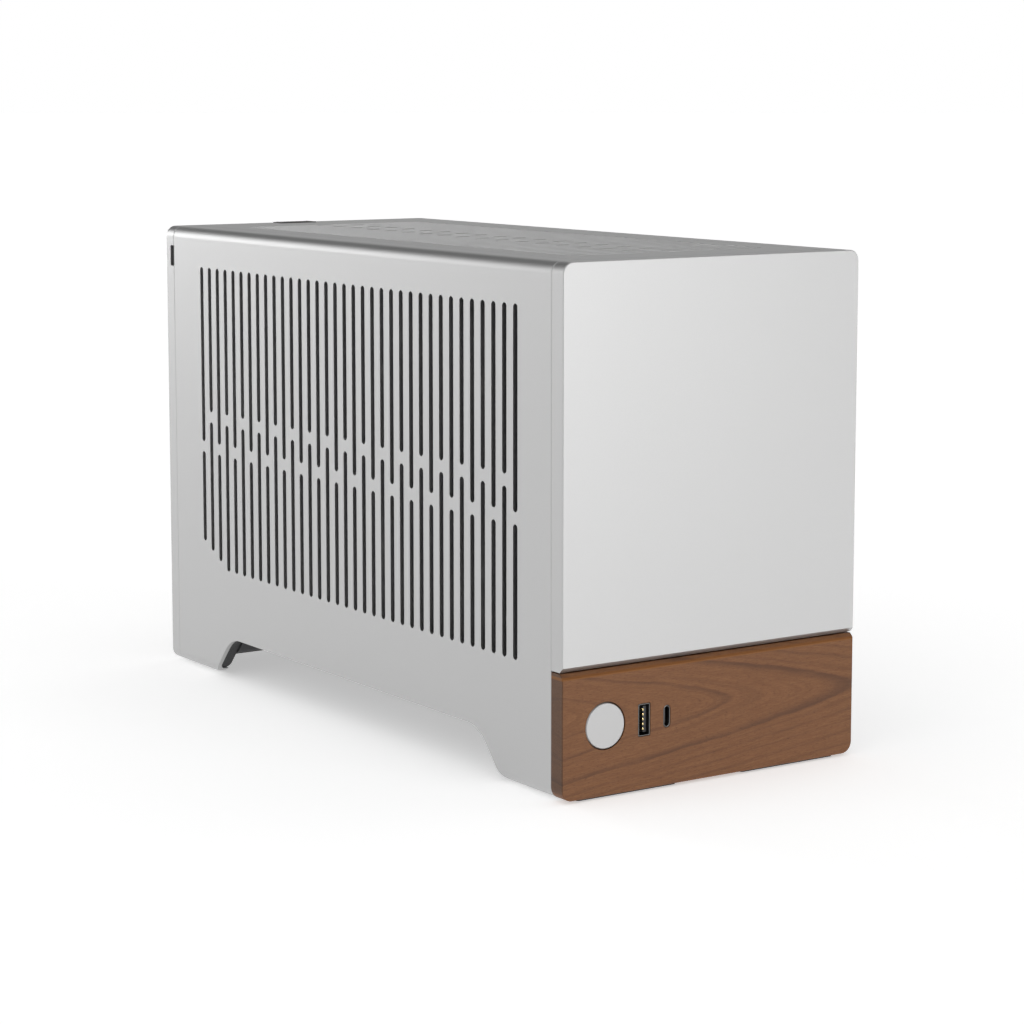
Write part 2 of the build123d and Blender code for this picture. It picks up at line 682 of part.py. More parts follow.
def cpu_fan_rotor():
    """The processor fan's wheel, in front of its hub plate."""
    return rotor(CPU_FAN_X[0] + 1, CPU_FAN_X[1] - 2.6, COOLER_Y, COOLER_Z, CPU_FAN_R, 18, 7)


def vrm_heatsink():
    """A ribbed aluminium block by the rear ports."""
    face = BOARD_X - BOARD_T
    sink = block((face - 24, face), (130, 140), (100, 186))
    for i in range(10):
        sink -= block((face - 25, face - 8), (129, 141), (104 + 8.3 * i, 107 + 8.3 * i))
    return sink


def ssd_heatsink():
    """The storage module's cover, between the processor and the card slot."""
    face = BOARD_X - BOARD_T
    cover = block((face - 7, face), (32, 114), (57, 81))
    for i in range(7):
        cover -= block((face - 8, face - 5), (31, 115), (60 + 3 * i, 61.4 + 3 * i))
    return cover


def board_sockets():
    """The board's main power socket and, at its lower edge, the expansion slot."""
    face = BOARD_X - BOARD_T
    power = block((face - 12, face), (-9, 0.5), (100, 152))
    slot_body = block((face - 11, face), PCIE_Y, (PCIE_Z - 3.8, PCIE_Z + 3.8))
    groove = block(
        (face - 12, face - 2.5), (PCIE_Y[0] + 2, PCIE_Y[1] - 2), (PCIE_Z - 0.95, PCIE_Z + 0.95)
    )
    return Compound([power, slot_body - groove])


def riser_plug():
    """The riser's plug board, pushed into the expansion slot."""
    face = BOARD_X - BOARD_T
    card = block((-50, face - 3), (PCIE_Y[0] + 2.4, PCIE_Y[1] - 2.4), (PCIE_Z - 0.8, PCIE_Z + 0.8))
    return card + block((-49, -32), (18, 100), (PCIE_Z - 4.6, PCIE_Z - 0.8))


def riser_ribbon():
    """The flat riser cable: down from the plug, under the spine and up to the card's socket."""
    points = [
        (-41, PCIE_Z - 4.6),
        (-41, 27),
        (-1.6, 27),
        (-1.6, 201),
        (6, 201),
    ]
    strip = bent_sheet(points, 6, 1.0)
    return along_y(strip, RIBBON_Y[0], RIBBON_Y[1])


def riser_socket():
    """The riser's socket with its small board, over the graphics card's edge."""
    x = CARD_X + 0.8
    body = block((x - 4, x + 4), PCIE_Y, (185.0, 198.0))
    body -= block((x - 0.9, x + 0.9), (PCIE_Y[0] + 1.5, PCIE_Y[1] - 1.5), (184, 194))
    return body + block((6, x + 12), (PCIE_Y[0] - 4, PCIE_Y[1] + 4), (198.0, 202.0))


def psu_case():
    """The power supply's steel case, with its fan opening and rows of output sockets."""
    case = block(PSU_X, PSU_Y, PSU_Z)
    inner = block(
        (PSU_X[0] + 1, PSU_X[1] - 1), (PSU_Y[0] + 1, PSU_Y[1] - 1), (PSU_Z[0] + 1, PSU_Z[1] - 1)
    )
    case -= inner
    case -= disc_x(PSU_X[0] - 1, PSU_X[0] + 2, PSU_FAN_Y, PSU_FAN_Z, PSU_FAN_R + 1)
    case -= along_y(rect(PSU_INLET[0], PSU_INLET[1], 28, 20.5, 1.5), PSU_Y[0] - 1, PSU_Y[0] + 2)
    case -= along_y(rect(ROCKER[0], ROCKER[1], 13.4, 19.6), PSU_Y[0] - 1, PSU_Y[0] + 2)
    for i in range(5):
        for j in range(3):
            vent = Pos(-60 + 11 * i, 112 + 12 * j) * SlotOverall(8, 3)
            case -= along_y(vent, PSU_Y[0] - 1, PSU_Y[0] + 2)
    return case


def psu_output_sockets():
    """The modular sockets on the power supply's inner face."""
    sockets = []
    for x, z, height in ((-46, 127, 52), (-26, 150, 30), (-44, 84, 24), (-20, 84, 30)):
        body = along_y(rect(x, z, 12, height, 0.6), PSU_Y[1], PSU_Y[1] + 4)
        sockets.append(body - along_y(rect(x, z, 9.6, height - 2.4), PSU_Y[1] + 1, PSU_Y[1] + 5))
    return Compound(sockets)


def psu_fan_rotor():
    """The power supply's fan wheel, just inside its grille."""
    return rotor(PSU_FAN_X[0] + 0.6, PSU_FAN_X[1] - 2.6, PSU_FAN_Y, PSU_FAN_Z, PSU_FAN_R, 18, 7)


def psu_fan_grille():
    """The wire guard over the power supply's fan: rings on a cross of wire."""
    x = PSU_X[0] - 1.0
    guard = disc_x(x - 0.7, x + 0.7, PSU_FAN_Y, PSU_FAN_Z, 9)
    for radius in (16, 24, 32, 40, 46):
        ring = disc_x(x - 0.7, x + 0.7, PSU_FAN_Y, PSU_FAN_Z, radius)
        guard += ring - disc_x(x - 1, x + 1, PSU_FAN_Y, PSU_FAN_Z, radius - 1.4)
    for turn in (45, 135):
        guard += Pos(x, PSU_FAN_Y, PSU_FAN_Z) * Rot(turn, 0, 0) * Box(1.4, 92, 1.6)
    for turn in (45, 135, 225, 315):
        y = PSU_FAN_Y + 45 * cos(radians(turn))
        z = PSU_FAN_Z + 45 * sin(radians(turn))
        guard += disc_x(x - 0.7, PSU_X[0], y, z, 1.6)
    return guard


def iec_inlet(x, z, y, facing):
    """A three-pin mains inlet whose mouth faces along facing (+1 or -1 in Y)."""
    front, back = y + facing * 2.4, y - facing * 18
    flange = along_y(rect(x, z, 30, 22.5, 2), *sorted((y, front)))
    body = along_y(rect(x, z, 27, 19.5, 1.5), *sorted((back, y)))
    mouth = along_y(rect(x, z, 24, 16, 2.5), *sorted((front + facing, y - facing * 14)))
    inlet = flange + body - mouth
    for px, pz in ((-7, -1.5), (0, 2.5), (7, -1.5)):
        inlet += along_y(rect(x + px, z + pz, 2.0, 4.0), *sorted((y - facing * 14, front - facing * 3)))
    return inlet


def psu_ac_inlet():
    """The power supply's own mains inlet, facing the case's front."""
    return iec_inlet(PSU_INLET[0], PSU_INLET[1], PSU_Y[0], -1)


def rear_ac_inlet():
    """The mains inlet in the rear wall, on a flange with two screw ears."""
    inlet = iec_inlet(INLET_X, INLET_Z, Y_SEAM, 1)
    ears = along_y(rect(INLET_X, INLET_Z, 50, 22.5, 6), Y_SEAM, Y_SEAM + 2.4)
    ears -= along_y(rect(INLET_X, INLET_Z, 26, 18), Y_SEAM - 1, Y_SEAM + 4)
    for dx in (-20, 20):
        ears -= disc_y(Y_SEAM - 1, Y_SEAM + 4, INLET_X + dx, INLET_Z, 1.6)
    return inlet + ears


def psu_rocker_switch():
    """The power supply's on-off rocker, tilting about X."""
    key = along_x(Circle(7.4), -5.2, 5.2) & block((-6, 6), (-3.2, 5), (-7, 7))
    return Pos(ROCKER[0], ROCKER_AXIS_Y, ROCKER[1]) * Rot(ROCKER_TILT, 0, 0) * key


def psu_rocker_frame():
    """The rocker's bezel, clipped in the power supply's face."""
    x, z = ROCKER
    flange = along_y(rect(x, z, 15, 21, 1.5), PSU_Y[0] - 1.2, PSU_Y[0])
    body = along_y(rect(x, z, 13, 19.2), PSU_Y[0], PSU_Y[0] + 12)
    return flange + body - block((x - 5.5, x + 5.5), (PSU_Y[0] - 2, PSU_Y[0] + 10), (z - 8.2, z + 8.2))


def psu_brackets():
    """Two angles that screw the power supply's face to the spine."""
    angles = []
    for low in (PSU_Z[0] + 1, PSU_Z[1] - 13):
        face = block((PSU_X[0] + 2, SPINE_X), (PSU_Y[0] - STEEL, PSU_Y[0]), (low, low + 12))
        foot = block((SPINE_X - STEEL, SPINE_X), (PSU_Y[0] - 18, PSU_Y[0]), (low, low + 12))
        angles.append(face + foot)
    return Compound(angles)


def gpu_pcb():
    """The graphics card's board with its edge connector on top."""
    board = block((CARD_X, CARD_X + 1.6), (CARD_Y[0] + 6, CARD_Y[1] - 2), CARD_Z)
    board += block((CARD_X, CARD_X + 1.6), (PCIE_Y[0] + 3, PCIE_Y[1] - 3), (CARD_Z[1], CARD_Z[1] + 9))
    return board + block((CARD_X + 1.6, CARD_X + 5.6), (-62, -40), (CARD_Z[0] + 0.6, CARD_Z[0] + 9))


def gpu_backplate():
    """The ribbed plate behind the graphics card's board."""
    plate = block(
        (CARD_X - 3.4, CARD_X - 1.4), (CARD_Y[0] + 4, CARD_Y[1] - 4), (CARD_Z[0] + 1, CARD_Z[1] - 1)
    )
    for y in (CARD_Y[0] + 12, 40, CARD_Y[1] - 12):
        for z in (CARD_Z[0] + 8, CARD_Z[1] - 8):
            plate += disc_x(CARD_X - 1.4, CARD_X, y, z, 3)
    for i in range(8):
        vent = Pos(CARD_Y[0] + 22 + 6 * i, CARD_FAN_Z) * SlotOverall(70, 3, rotation=90)
        plate -= along_x(vent, CARD_X - 5, CARD_X - 1)
    return plate


def gpu_heatsink():
    """The graphics card's fin stack on its base."""
    sink = block(
        (CARD_X + 1.6, CARD_X + 6), (CARD_Y[0] + 16, CARD_Y[1] - 20), (CARD_Z[0] + 10, CARD_Z[1] - 8)
    )
    for i in range(40):
        y = CARD_Y[0] + 18 + 5 * i
        fin = block((CARD_X + 6, CARD_X + 28), (y - 0.3, y + 0.3), (CARD_Z[0] + 6, CARD_Z[1] - 4))
        sink += fin
    for z in (CARD_Z[0] + 24, CARD_FAN_Z, CARD_Z[1] - 24):
        sink += along_y(Pos(CARD_X + 17, z) * Circle(3), CARD_Y[0] + 10, CARD_Y[1] - 19)
    return sink


def gpu_shroud():
    """The card's cover: a face with two fan openings and side walls, open behind."""
    low, high = CARD_Z[0] - 2, CARD_Z[1] + 0.6
    shroud = block(SHROUD_X, (CARD_Y[0], CARD_Y[1] - 2), (low, high))
    shroud = fillet(shroud.edges().filter_by(Axis.Y).group_by(Axis.X)[-1], 4)
    shroud = fillet(shroud.edges().filter_by(Axis.Z).sort_by(Axis.Y)[:1], 3)
    shroud -= block(
        (SHROUD_X[0] - 1, SHROUD_X[1] - 2.4), (CARD_Y[0] + 2.4, CARD_Y[1]), (low + 2.4, high - 2.4)
    )
    for y in CARD_FAN_Y:
        shroud -= disc_x(SHROUD_X[1] - 5, SHROUD_X[1] + 1, y, CARD_FAN_Z, CARD_FAN_R + 1.3)
    for i in range(9):
        y = -12 + 12 * i
        shroud -= block((SHROUD_X[0] + 6, SHROUD_X[1] - 8), (y, y + 8), (low - 1, low + 3))
    for y in CARD_FAN_Y:
        shroud += gpu_fan_spider(y)
    return shroud


def gpu_fan_spider(y):
    """A motor post on two arms that carries one of the card's fans over the fins."""
    spider = disc_x(CARD_X + 28.6, CARD_X + 33, y, CARD_FAN_Z, 14)
    for turn in (0, 180):
        arm = Pos(0, 0, 26) * Box(2.0, 3.0, 52.0)
        spider += Pos(CARD_X + 30, y, CARD_FAN_Z) * Rot(turn, 0, 0) * arm
    return spider & block(SHROUD_X, (CARD_Y[0], CARD_Y[1]), (CARD_Z[0] - 2, CARD_Z[1] + 0.6))


def gpu_fan(y):
    """One of the card's fan wheels."""
    wheel = rotor(-(CARD_X + 46), -(CARD_X + 33.4), y, CARD_FAN_Z, CARD_FAN_R, 17, 9)
    return mirror(wheel, about=Plane.YZ)


def gpu_bracket():
    """The card's slotted end bracket with its video ports, behind the rear wall's window."""
    plate = block((8.5, 67.5), (Y_WALL - 1.2, Y_WALL), (80, 191))
    for i in range(3):
        opening = Pos(22, 166 - 22 * i) * SlotOverall(17, 6.4, rotation=90)
        plate -= along_y(opening, Y_WALL - 3, Y_WALL + 1)
    plate -= along_y(rect(22, 100, 6.4, 16, 1), Y_WALL - 3, Y_WALL + 1)
    for i in range(12):
        vent = Pos(48, 92 + 8 * i) * SlotOverall(26, 4)
        plate -= along_y(vent, Y_WALL - 3, Y_WALL + 1)
    return plate


def gpu_video_ports():
    """The card's four video sockets, on its board just behind the bracket."""
    ports = []
    for z, height in ((166, 16.4), (144, 16.4), (122, 16.4), (100, 15.2)):
        shell = block((CARD_X + 1.6, 25), (142, Y_WALL - 1.3), (z - height / 2, z + height / 2))
        mouth = block((19.4, 24.2), (150, Y_WALL), (z - height / 2 + 0.8, z + height / 2 - 0.8))
        tongue = block((21.2, 22.4), (150, Y_WALL - 2), (z - height / 2 + 2.6, z + height / 2 - 2.6))
        ports.append(shell - mouth + tongue)
    return Compound(ports)


def corner_radii(points):
    """The largest easy bend at each corner of a lead's route."""
    radii = []
    for before, here, after in zip(points, points[1:], points[2:]):
        first = Vector(*here) - Vector(*before)
        second = Vector(*after) - Vector(*here)
        turn = radians(first.get_angle(second))
        radii.append(0.45 * min(first.length, second.length) / tan(turn / 2))
    return radii


def lead(points, diameter):
    """A round lead along a route of straight runs and tangent arcs."""
    radii = corner_radii(points)
    print("lead radii", [round(r, 1) for r in radii])
    path = FilletPolyline(*points, radius=radii)
    start = Plane(origin=points[0], z_dir=Vector(*points[1]) - Vector(*points[0]))
    return sweep(start * Circle(diameter / 2), path=path)


AC_ROUTE = [
    (-38, -142, 147),
    (-38, -142, 118),
    (-37, -141.5, 86),
    (-36, -143, 58),
    (-26, -143, 38),
    (-4, -142, 24.5),
    (20, -134, 22),
    (34, -112, 27),
    (37, -76, 27.5),
    (39, -36, 26.5),
    (37, 4, 27.5),
    (38, 44, 27),
    (38, 76, 31.5),
    (38, 102, 43),
    (38, 125, INLET_Z),
    (38, 145.5, INLET_Z),
]


def ac_lead():
    """The mains lead inside the case, from the rear inlet to the power supply."""
    return lead(AC_ROUTE, 6.5)


def ac_plug():
    """The lead's angled plug, seated in the power supply's inlet."""
    x, z = PSU_INLET
    body = block((x - 13, x + 13), (-151, PSU_Y[0] - 2.6), (z - 13, z + 9.4))
    body = fillet(body.edges().filter_by(Axis.X), 3)
    plug = body + along_y(rect(x, z, 23.4, 15.4, 2.2), PSU_Y[0] - 3, PSU_Y[0] + 13.5)
    for px, pz in ((-7, -1.5), (0, 2.5), (7, -1.5)):
        plug -= along_y(rect(x + px, z + pz, 2.6, 4.6), PSU_Y[0] - 0.2, PSU_Y[0] + 15)
    return plug


def board_power_cable():
    """The bundle from the power supply round into the board's power plug."""
    face = BOARD_X - BOARD_T
    plug = block((face - 26, face - 12), (-8.6, 0.1), (101, 151))
    cables = plug
    for i in range(6):
        z = 107 + 7.6 * i
        path = FilletPolyline((face - 25, -4.2, z), (-52, -4.2, z), (-52, -24, z), radius=9)
        start = Plane(origin=(face - 25, -4.2, z), z_dir=(-1, 0, 0))
        cables += sweep(start * Circle(2.6), path=path)
    return cables + block((-56, -36), (PSU_Y[1] + 4, PSU_Y[1] + 8), (100, 154))


GPU_ROUTE = [
    (-20, -24, 84),
    (-20, -15.5, 80),
    (-19, -13, 67),
    (-18, -13.5, 52),
    (-16.5, -14.5, 37),
    (-10, -17.5, 26),
    (3, -27, 25.8),
    (12, -38, 33),
    (14.3, -47, 46),
    (14.5, -51, 58),
    (14.5, -51, 69),
]


def gpu_power_cable():
    """The graphics card's power lead, from the power supply under the spine, with its plug."""
    x, y, z = GPU_ROUTE[-1]
    return lead(GPU_ROUTE, 6.0) + block((x - 3.6, x + 3.4), (y - 9, y + 9), (z - 0.5, CARD_Z[0] - 0.6))


PARTS = {
    "front_panel": front_panel,
    "front_wood_panel": front_wood_panel,
    "left_side_panel": left_side_panel,
    "right_side_panel": right_side_panel,
    "top_panel": top_panel,
    "top_pull_tab": top_pull_tab,
    "rear_bezel": rear_bezel,
    "rubber_feet": rubber_feet,
    "power_button_cap": power_button_cap,
    "power_button_housing": power_button_housing,
    "front_usb_a_port": front_usb_a_port,
    "front_usb_c_port": front_usb_c_port,
    "front_io_board": front_io_board,
    "chassis_front_wall": chassis_front_wall,
    "chassis_rear_panel": chassis_rear_panel,
    "chassis_bottom_tray": chassis_bottom_tray,
    "left_hinge_rail": lambda: hinge_rail(-1),
    "right_hinge_rail": lambda: hinge_rail(1),
    "top_rails": top_rails,
    "spine_plate": spine_plate,
    "panel_catches": panel_catches,
    "case_screws": case_screws,
    "motherboard_standoffs": motherboard_standoffs,
    "motherboard_pcb": motherboard_pcb,
    "rear_io_ports": rear_io_ports,
    "io_shield": io_shield,
    "ram_slots": ram_slots,
    "ram_modules": ram_modules,
    "cpu_package": cpu_package,
    "cpu_cooler_heatsink": cpu_cooler_heatsink,
    "cpu_fan_frame": cpu_fan_frame,
    "cpu_fan_rotor": cpu_fan_rotor,
    "vrm_heatsink": vrm_heatsink,
    "ssd_heatsink": ssd_heatsink,
    "board_sockets": board_sockets,
    "riser_plug": riser_plug,
    "riser_ribbon": riser_ribbon,
    "riser_socket": riser_socket,
    "psu_case": psu_case,
    "psu_output_sockets": psu_output_sockets,
    "psu_fan_frame": psu_fan_frame,
    "psu_fan_rotor": psu_fan_rotor,
    "psu_fan_grille": psu_fan_grille,
    "psu_ac_inlet": psu_ac_inlet,
    "psu_rocker_frame": psu_rocker_frame,
    "psu_rocker_switch": psu_rocker_switch,
    "psu_brackets": psu_brackets,
    "gpu_pcb": gpu_pcb,
    "gpu_backplate": gpu_backplate,
    "gpu_heatsink": gpu_heatsink,
    "gpu_shroud": gpu_shroud,
    "gpu_fan_rear": lambda: gpu_fan(CARD_FAN_Y[0]),
    "gpu_fan_front": lambda: gpu_fan(CARD_FAN_Y[1]),
    "gpu_bracket": gpu_bracket,
    "gpu_video_ports": gpu_video_ports,
    "gpu_power_cable": gpu_power_cable,
    "board_power_cable": board_power_cable,
    "rear_ac_inlet": rear_ac_inlet,
    "ac_lead": ac_lead,
    "ac_plug": ac_plug,
}

os.makedirs("parts", exist_ok=True)
for name, make in PARTS.items():
    export_step(make(), f"parts/{name}.step")
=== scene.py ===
import json
import math
import random

import bmesh
import bpy
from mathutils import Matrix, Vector


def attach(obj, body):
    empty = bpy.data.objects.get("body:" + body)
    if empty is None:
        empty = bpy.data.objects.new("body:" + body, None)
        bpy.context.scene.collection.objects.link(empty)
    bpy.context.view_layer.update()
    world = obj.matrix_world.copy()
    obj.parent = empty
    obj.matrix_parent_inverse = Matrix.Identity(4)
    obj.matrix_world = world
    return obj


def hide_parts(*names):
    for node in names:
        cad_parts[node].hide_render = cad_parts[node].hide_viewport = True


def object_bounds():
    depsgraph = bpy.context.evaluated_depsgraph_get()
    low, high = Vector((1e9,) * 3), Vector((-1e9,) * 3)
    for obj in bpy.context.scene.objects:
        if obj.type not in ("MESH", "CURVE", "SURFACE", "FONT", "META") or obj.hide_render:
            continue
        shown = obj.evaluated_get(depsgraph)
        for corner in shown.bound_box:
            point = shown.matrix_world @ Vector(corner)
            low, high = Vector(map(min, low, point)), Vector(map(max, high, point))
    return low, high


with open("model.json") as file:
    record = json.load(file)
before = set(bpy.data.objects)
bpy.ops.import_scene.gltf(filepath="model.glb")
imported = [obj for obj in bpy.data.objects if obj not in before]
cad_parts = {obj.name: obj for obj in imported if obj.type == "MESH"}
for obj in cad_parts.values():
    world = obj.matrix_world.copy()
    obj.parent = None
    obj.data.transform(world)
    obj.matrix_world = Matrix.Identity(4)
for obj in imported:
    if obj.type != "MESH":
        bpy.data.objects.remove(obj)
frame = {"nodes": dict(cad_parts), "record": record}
cad_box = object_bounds()
scene = bpy.context.scene
nodes = frame["nodes"]
MM = 0.001


# ---------------------------------------------------------------- camera, floor and light

CAMERA_PLACE = (-0.690792, -1.046975, 0.286725)
CAMERA_YAW = 0.593
CAMERA_PITCH = 0.125
CAMERA_SHIFT = -0.08
LENS = 95.84
FLOOR_RADIUS = 30.0
FLOOR_DROP = 0.0002         # keeps the floor clear of the feet


def add_camera():
    """The camera at the picture's viewing angle, with a small part of its vertical shift."""
    data = bpy.data.cameras.new("camera")
    data.lens = LENS
    data.sensor_width = 36.0
    data.shift_y = CAMERA_SHIFT
    data.clip_start = 0.05
    data.clip_end = 2 * FLOOR_RADIUS
    camera = bpy.data.objects.new("camera", data)
    camera.location = CAMERA_PLACE
    camera.rotation_euler = (math.radians(90) - CAMERA_PITCH, 0, -CAMERA_YAW)
    scene.collection.objects.link(camera)
    scene.camera = camera


# Soft glows of the surroundings. In degrees: azimuth from -Y towards +X, elevation, and the half angles
# inside which a glow is full and outside which it is gone. The last number is its strength.
GLOWS = (
    (0.0, 90.0, 5.0, 50.0, 0.55),
    (16.0, 0.0, 0.0, 22.0, 9.8),
    (188.0, 0.0, 0.0, 22.0, 10.4),
    (148.0, 10.0, 0.0, 30.0, 0.52),
    (312.0, 14.0, 5.0, 48.0, 0.5),
    (340.0, 40.0, 10.0, 45.0, 0.15),
    (264.0, 36.0, 5.0, 55.0, 0.6),
    (88.0, 38.0, 5.0, 52.0, 0.45),
)
AMBIENT = 0.05
WHITE = (1.0, 1.0, 1.0, 1.0)


def add_world():
    """A pale studio: faint even light, broad soft glows, and a plain white backdrop."""
    world = bpy.data.worlds.new("studio")
    scene.world = world
    world.use_nodes = True
    tree = world.node_tree
    tree.nodes.clear()
    coord = tree.nodes.new("ShaderNodeTexCoord")
    total = tree.nodes.new("ShaderNodeValue").outputs[0]
    total.default_value = AMBIENT
    for azimuth, elevation, inner, outer, strength in GLOWS:
        a, e = math.radians(azimuth), math.radians(elevation)
        dot = tree.nodes.new("ShaderNodeVectorMath")
        dot.operation = "DOT_PRODUCT"
        dot.inputs[1].default_value = (math.sin(a) * math.cos(e), -math.cos(a) * math.cos(e), math.sin(e))
        tree.links.new(coord.outputs["Generated"], dot.inputs[0])
        glow = tree.nodes.new("ShaderNodeMapRange")
        glow.interpolation_type = "SMOOTHSTEP"
        tree.links.new(dot.outputs["Value"], glow.inputs[0])
        limits = (math.cos(math.radians(outer)), math.cos(math.radians(inner)), 0.0, strength)
        for i, limit in enumerate(limits):
            glow.inputs[i + 1].default_value = limit
        add = tree.nodes.new("ShaderNodeMath")
        tree.links.new(total, add.inputs[0])
        tree.links.new(glow.outputs[0], add.inputs[1])
        total = add.outputs[0]
    light = tree.nodes.new("ShaderNodeBackground")
    light.inputs["Color"].default_value = WHITE
    tree.links.new(total, light.inputs["Strength"])
    plain = tree.nodes.new("ShaderNodeBackground")
    plain.inputs["Color"].default_value = WHITE
    plain.inputs["Strength"].default_value = 1.0
    path = tree.nodes.new("ShaderNodeLightPath")
    mix = tree.nodes.new("ShaderNodeMixShader")
    tree.links.new(path.outputs["Is Camera Ray"], mix.inputs[0])
    tree.links.new(light.outputs[0], mix.inputs[1])
    tree.links.new(plain.outputs[0], mix.inputs[2])
    out = tree.nodes.new("ShaderNodeOutputWorld")
    tree.links.new(mix.outputs[0], out.inputs["Surface"])


def add_floor():
    """A wide pale disc."""
    bm = bmesh.new()
    bmesh.ops.create_circle(bm, cap_ends=True, segments=96, radius=FLOOR_RADIUS)
    mesh = bpy.data.meshes.new("floor")
    bm.to_mesh(mesh)
    bm.free()
    floor = bpy.data.objects.new("floor", mesh)
    floor.location.z = -FLOOR_DROP
    mesh.materials.append(floor_material())
    scene.collection.objects.link(floor)


# ---------------------------------------------------------------- materials


class Graph:
    """A material's node tree with short calls."""

    def __init__(self, name):
        self.material = bpy.data.materials.new(name)
        self.material.use_nodes = True
        self.tree = self.material.node_tree
        self.shader = self.tree.nodes["Principled BSDF"]
        self.place = self.add("ShaderNodeTexCoord").outputs["Object"]

    def add(self, kind, **settings):
        """A new node with its properties set."""
        node = self.tree.nodes.new(kind)
        for key, value in settings.items():
            setattr(node, key, value)
        return node

    def feed(self, socket, value):
        """Links a socket to an input, or sets the input to a plain value."""
        if isinstance(value, bpy.types.NodeSocket):
            self.tree.links.new(value, socket)
        else:
            socket.default_value = value

    def paint(self, socket, color):
        """Feeds a colour, which may be a socket or red, green and blue."""
        self.feed(socket, color if isinstance(color, bpy.types.NodeSocket) else (*color, 1.0))

    def stretch(self, vector, scale, offset=(0, 0, 0)):
        """A vector scaled by axis and then moved."""
        node = self.add("ShaderNodeMapping")
        self.feed(node.inputs["Vector"], vector)
        node.inputs["Scale"].default_value = scale
        node.inputs["Location"].default_value = offset
        return node.outputs[0]

    def noise(self, vector, scale, detail=3.0, roughness=0.5, distortion=0.0):
        """Soft random patches between 0 and 1."""
        node = self.add("ShaderNodeTexNoise")
        self.feed(node.inputs["Vector"], vector)
        node.inputs["Scale"].default_value = scale
        node.inputs["Detail"].default_value = detail
        node.inputs["Roughness"].default_value = roughness
        node.inputs["Distortion"].default_value = distortion
        return node.outputs["Fac"]

    def math(self, operation, *values):
        """One arithmetic step on numbers or sockets."""
        node = self.add("ShaderNodeMath", operation=operation)
        for socket, value in zip(node.inputs, values):
            self.feed(socket, value)
        return node.outputs[0]

    def span(self, value, low, high, out_low=0.0, out_high=1.0, smooth=True):
        """Maps the stretch from low to high onto the one from out_low to out_high, clamped at both ends."""
        node = self.add("ShaderNodeMapRange")
        node.interpolation_type = "SMOOTHSTEP" if smooth else "LINEAR"
        self.feed(node.inputs[0], value)
        for i, number in enumerate((low, high, out_low, out_high)):
            self.feed(node.inputs[i + 1], number)
        return node.outputs[0]

    def mix(self, factor, first, second):
        """A colour that goes from first to second as the factor goes from 0 to 1."""
        node = self.add("ShaderNodeMix", data_type="RGBA")
        self.feed(node.inputs[0], factor)
        self.paint(node.inputs[6], first)
        self.paint(node.inputs[7], second)
        return node.outputs[2]

    def axes(self, vector):
        """The three parts of a vector."""
        node = self.add("ShaderNodeSeparateXYZ")
        self.feed(node.inputs[0], vector)
        return node.outputs

    def join(self, x, y, z):
        """A vector from its three parts."""
        node = self.add("ShaderNodeCombineXYZ")
        for socket, value in zip(node.inputs, (x, y, z)):
            self.feed(socket, value)
        return node.outputs[0]

    def bump(self, height, strength, distance):
        """Fine relief, with its full height as distance in metres."""
        node = self.add("ShaderNodeBump")
        self.feed(node.inputs["Height"], height)
        node.inputs["Strength"].default_value = strength
        node.inputs["Distance"].default_value = distance
        self.feed(self.shader.inputs["Normal"], node.outputs[0])

    def look(self, color, roughness, metallic=0.0, **others):
        """Sets the shader and gives back the finished material."""
        self.paint(self.shader.inputs["Base Color"], color)
        self.feed(self.shader.inputs["Roughness"], roughness)
        self.feed(self.shader.inputs["Metallic"], metallic)
        for key, value in others.items():
            self.feed(self.shader.inputs[key], value)
        return self.material


def shade(color, factor):
    """A lighter or darker tone of a colour."""
    return tuple(min(1.0, c * factor) for c in color)


def floor_material():
    """White matt paint, lit a little from inside so that the contact shadow stays faint."""
    g = Graph("floor_paint")
    tone = g.noise(g.place, 3.0, 2.0)
    color = g.mix(tone, (0.93, 0.93, 0.93), (0.95, 0.95, 0.95))
    glow = {"Emission Color": WHITE, "Emission Strength": 0.44}
    return g.look(color, 0.9, **{"Specular IOR Level": 0.1}, **glow)


def blasted_aluminium(name, tone, roughness):
    """Bead-blasted, clear anodised aluminium: fine even speckle in colour, gloss and relief."""
    g = Graph(name)
    speckle = g.noise(g.place, 1900.0, 2.0, 0.6)
    cloud = g.noise(g.place, 14.0, 3.0)
    color = g.mix(speckle, shade(tone, 0.93), shade(tone, 1.05))
    color = g.mix(g.span(cloud, 0.3, 0.7, 0.0, 0.5), color, shade(tone, 0.985))
    rough = g.span(speckle, 0.2, 0.8, roughness - 0.05, roughness + 0.05, smooth=False)
    g.bump(speckle, 0.12, 0.00008)
    return g.look(color, rough, 1.0)


def turned_aluminium(name, tone, roughness, x, z):
    """A face turned on a lathe: fine rings about the centre (x, z), in metres."""
    g = Graph(name)
    axes = g.axes(g.place)
    radius = g.math("POWER", g.math("ADD",
        g.math("POWER", g.math("SUBTRACT", axes[0], x), 2.0),
        g.math("POWER", g.math("SUBTRACT", axes[2], z), 2.0)), 0.5)
    rings = g.noise(g.join(g.math("MULTIPLY", radius, 2600.0), 0.0, 0.0), 1.0, 2.0, 0.7)
    speckle = g.noise(g.place, 2200.0, 1.0)
    color = g.mix(rings, shade(tone, 0.93), shade(tone, 1.05))
    g.bump(g.math("ADD", rings, speckle), 0.08, 0.00005)
    return g.look(color, g.span(rings, 0.3, 0.7, roughness - 0.04, roughness + 0.04), 1.0)


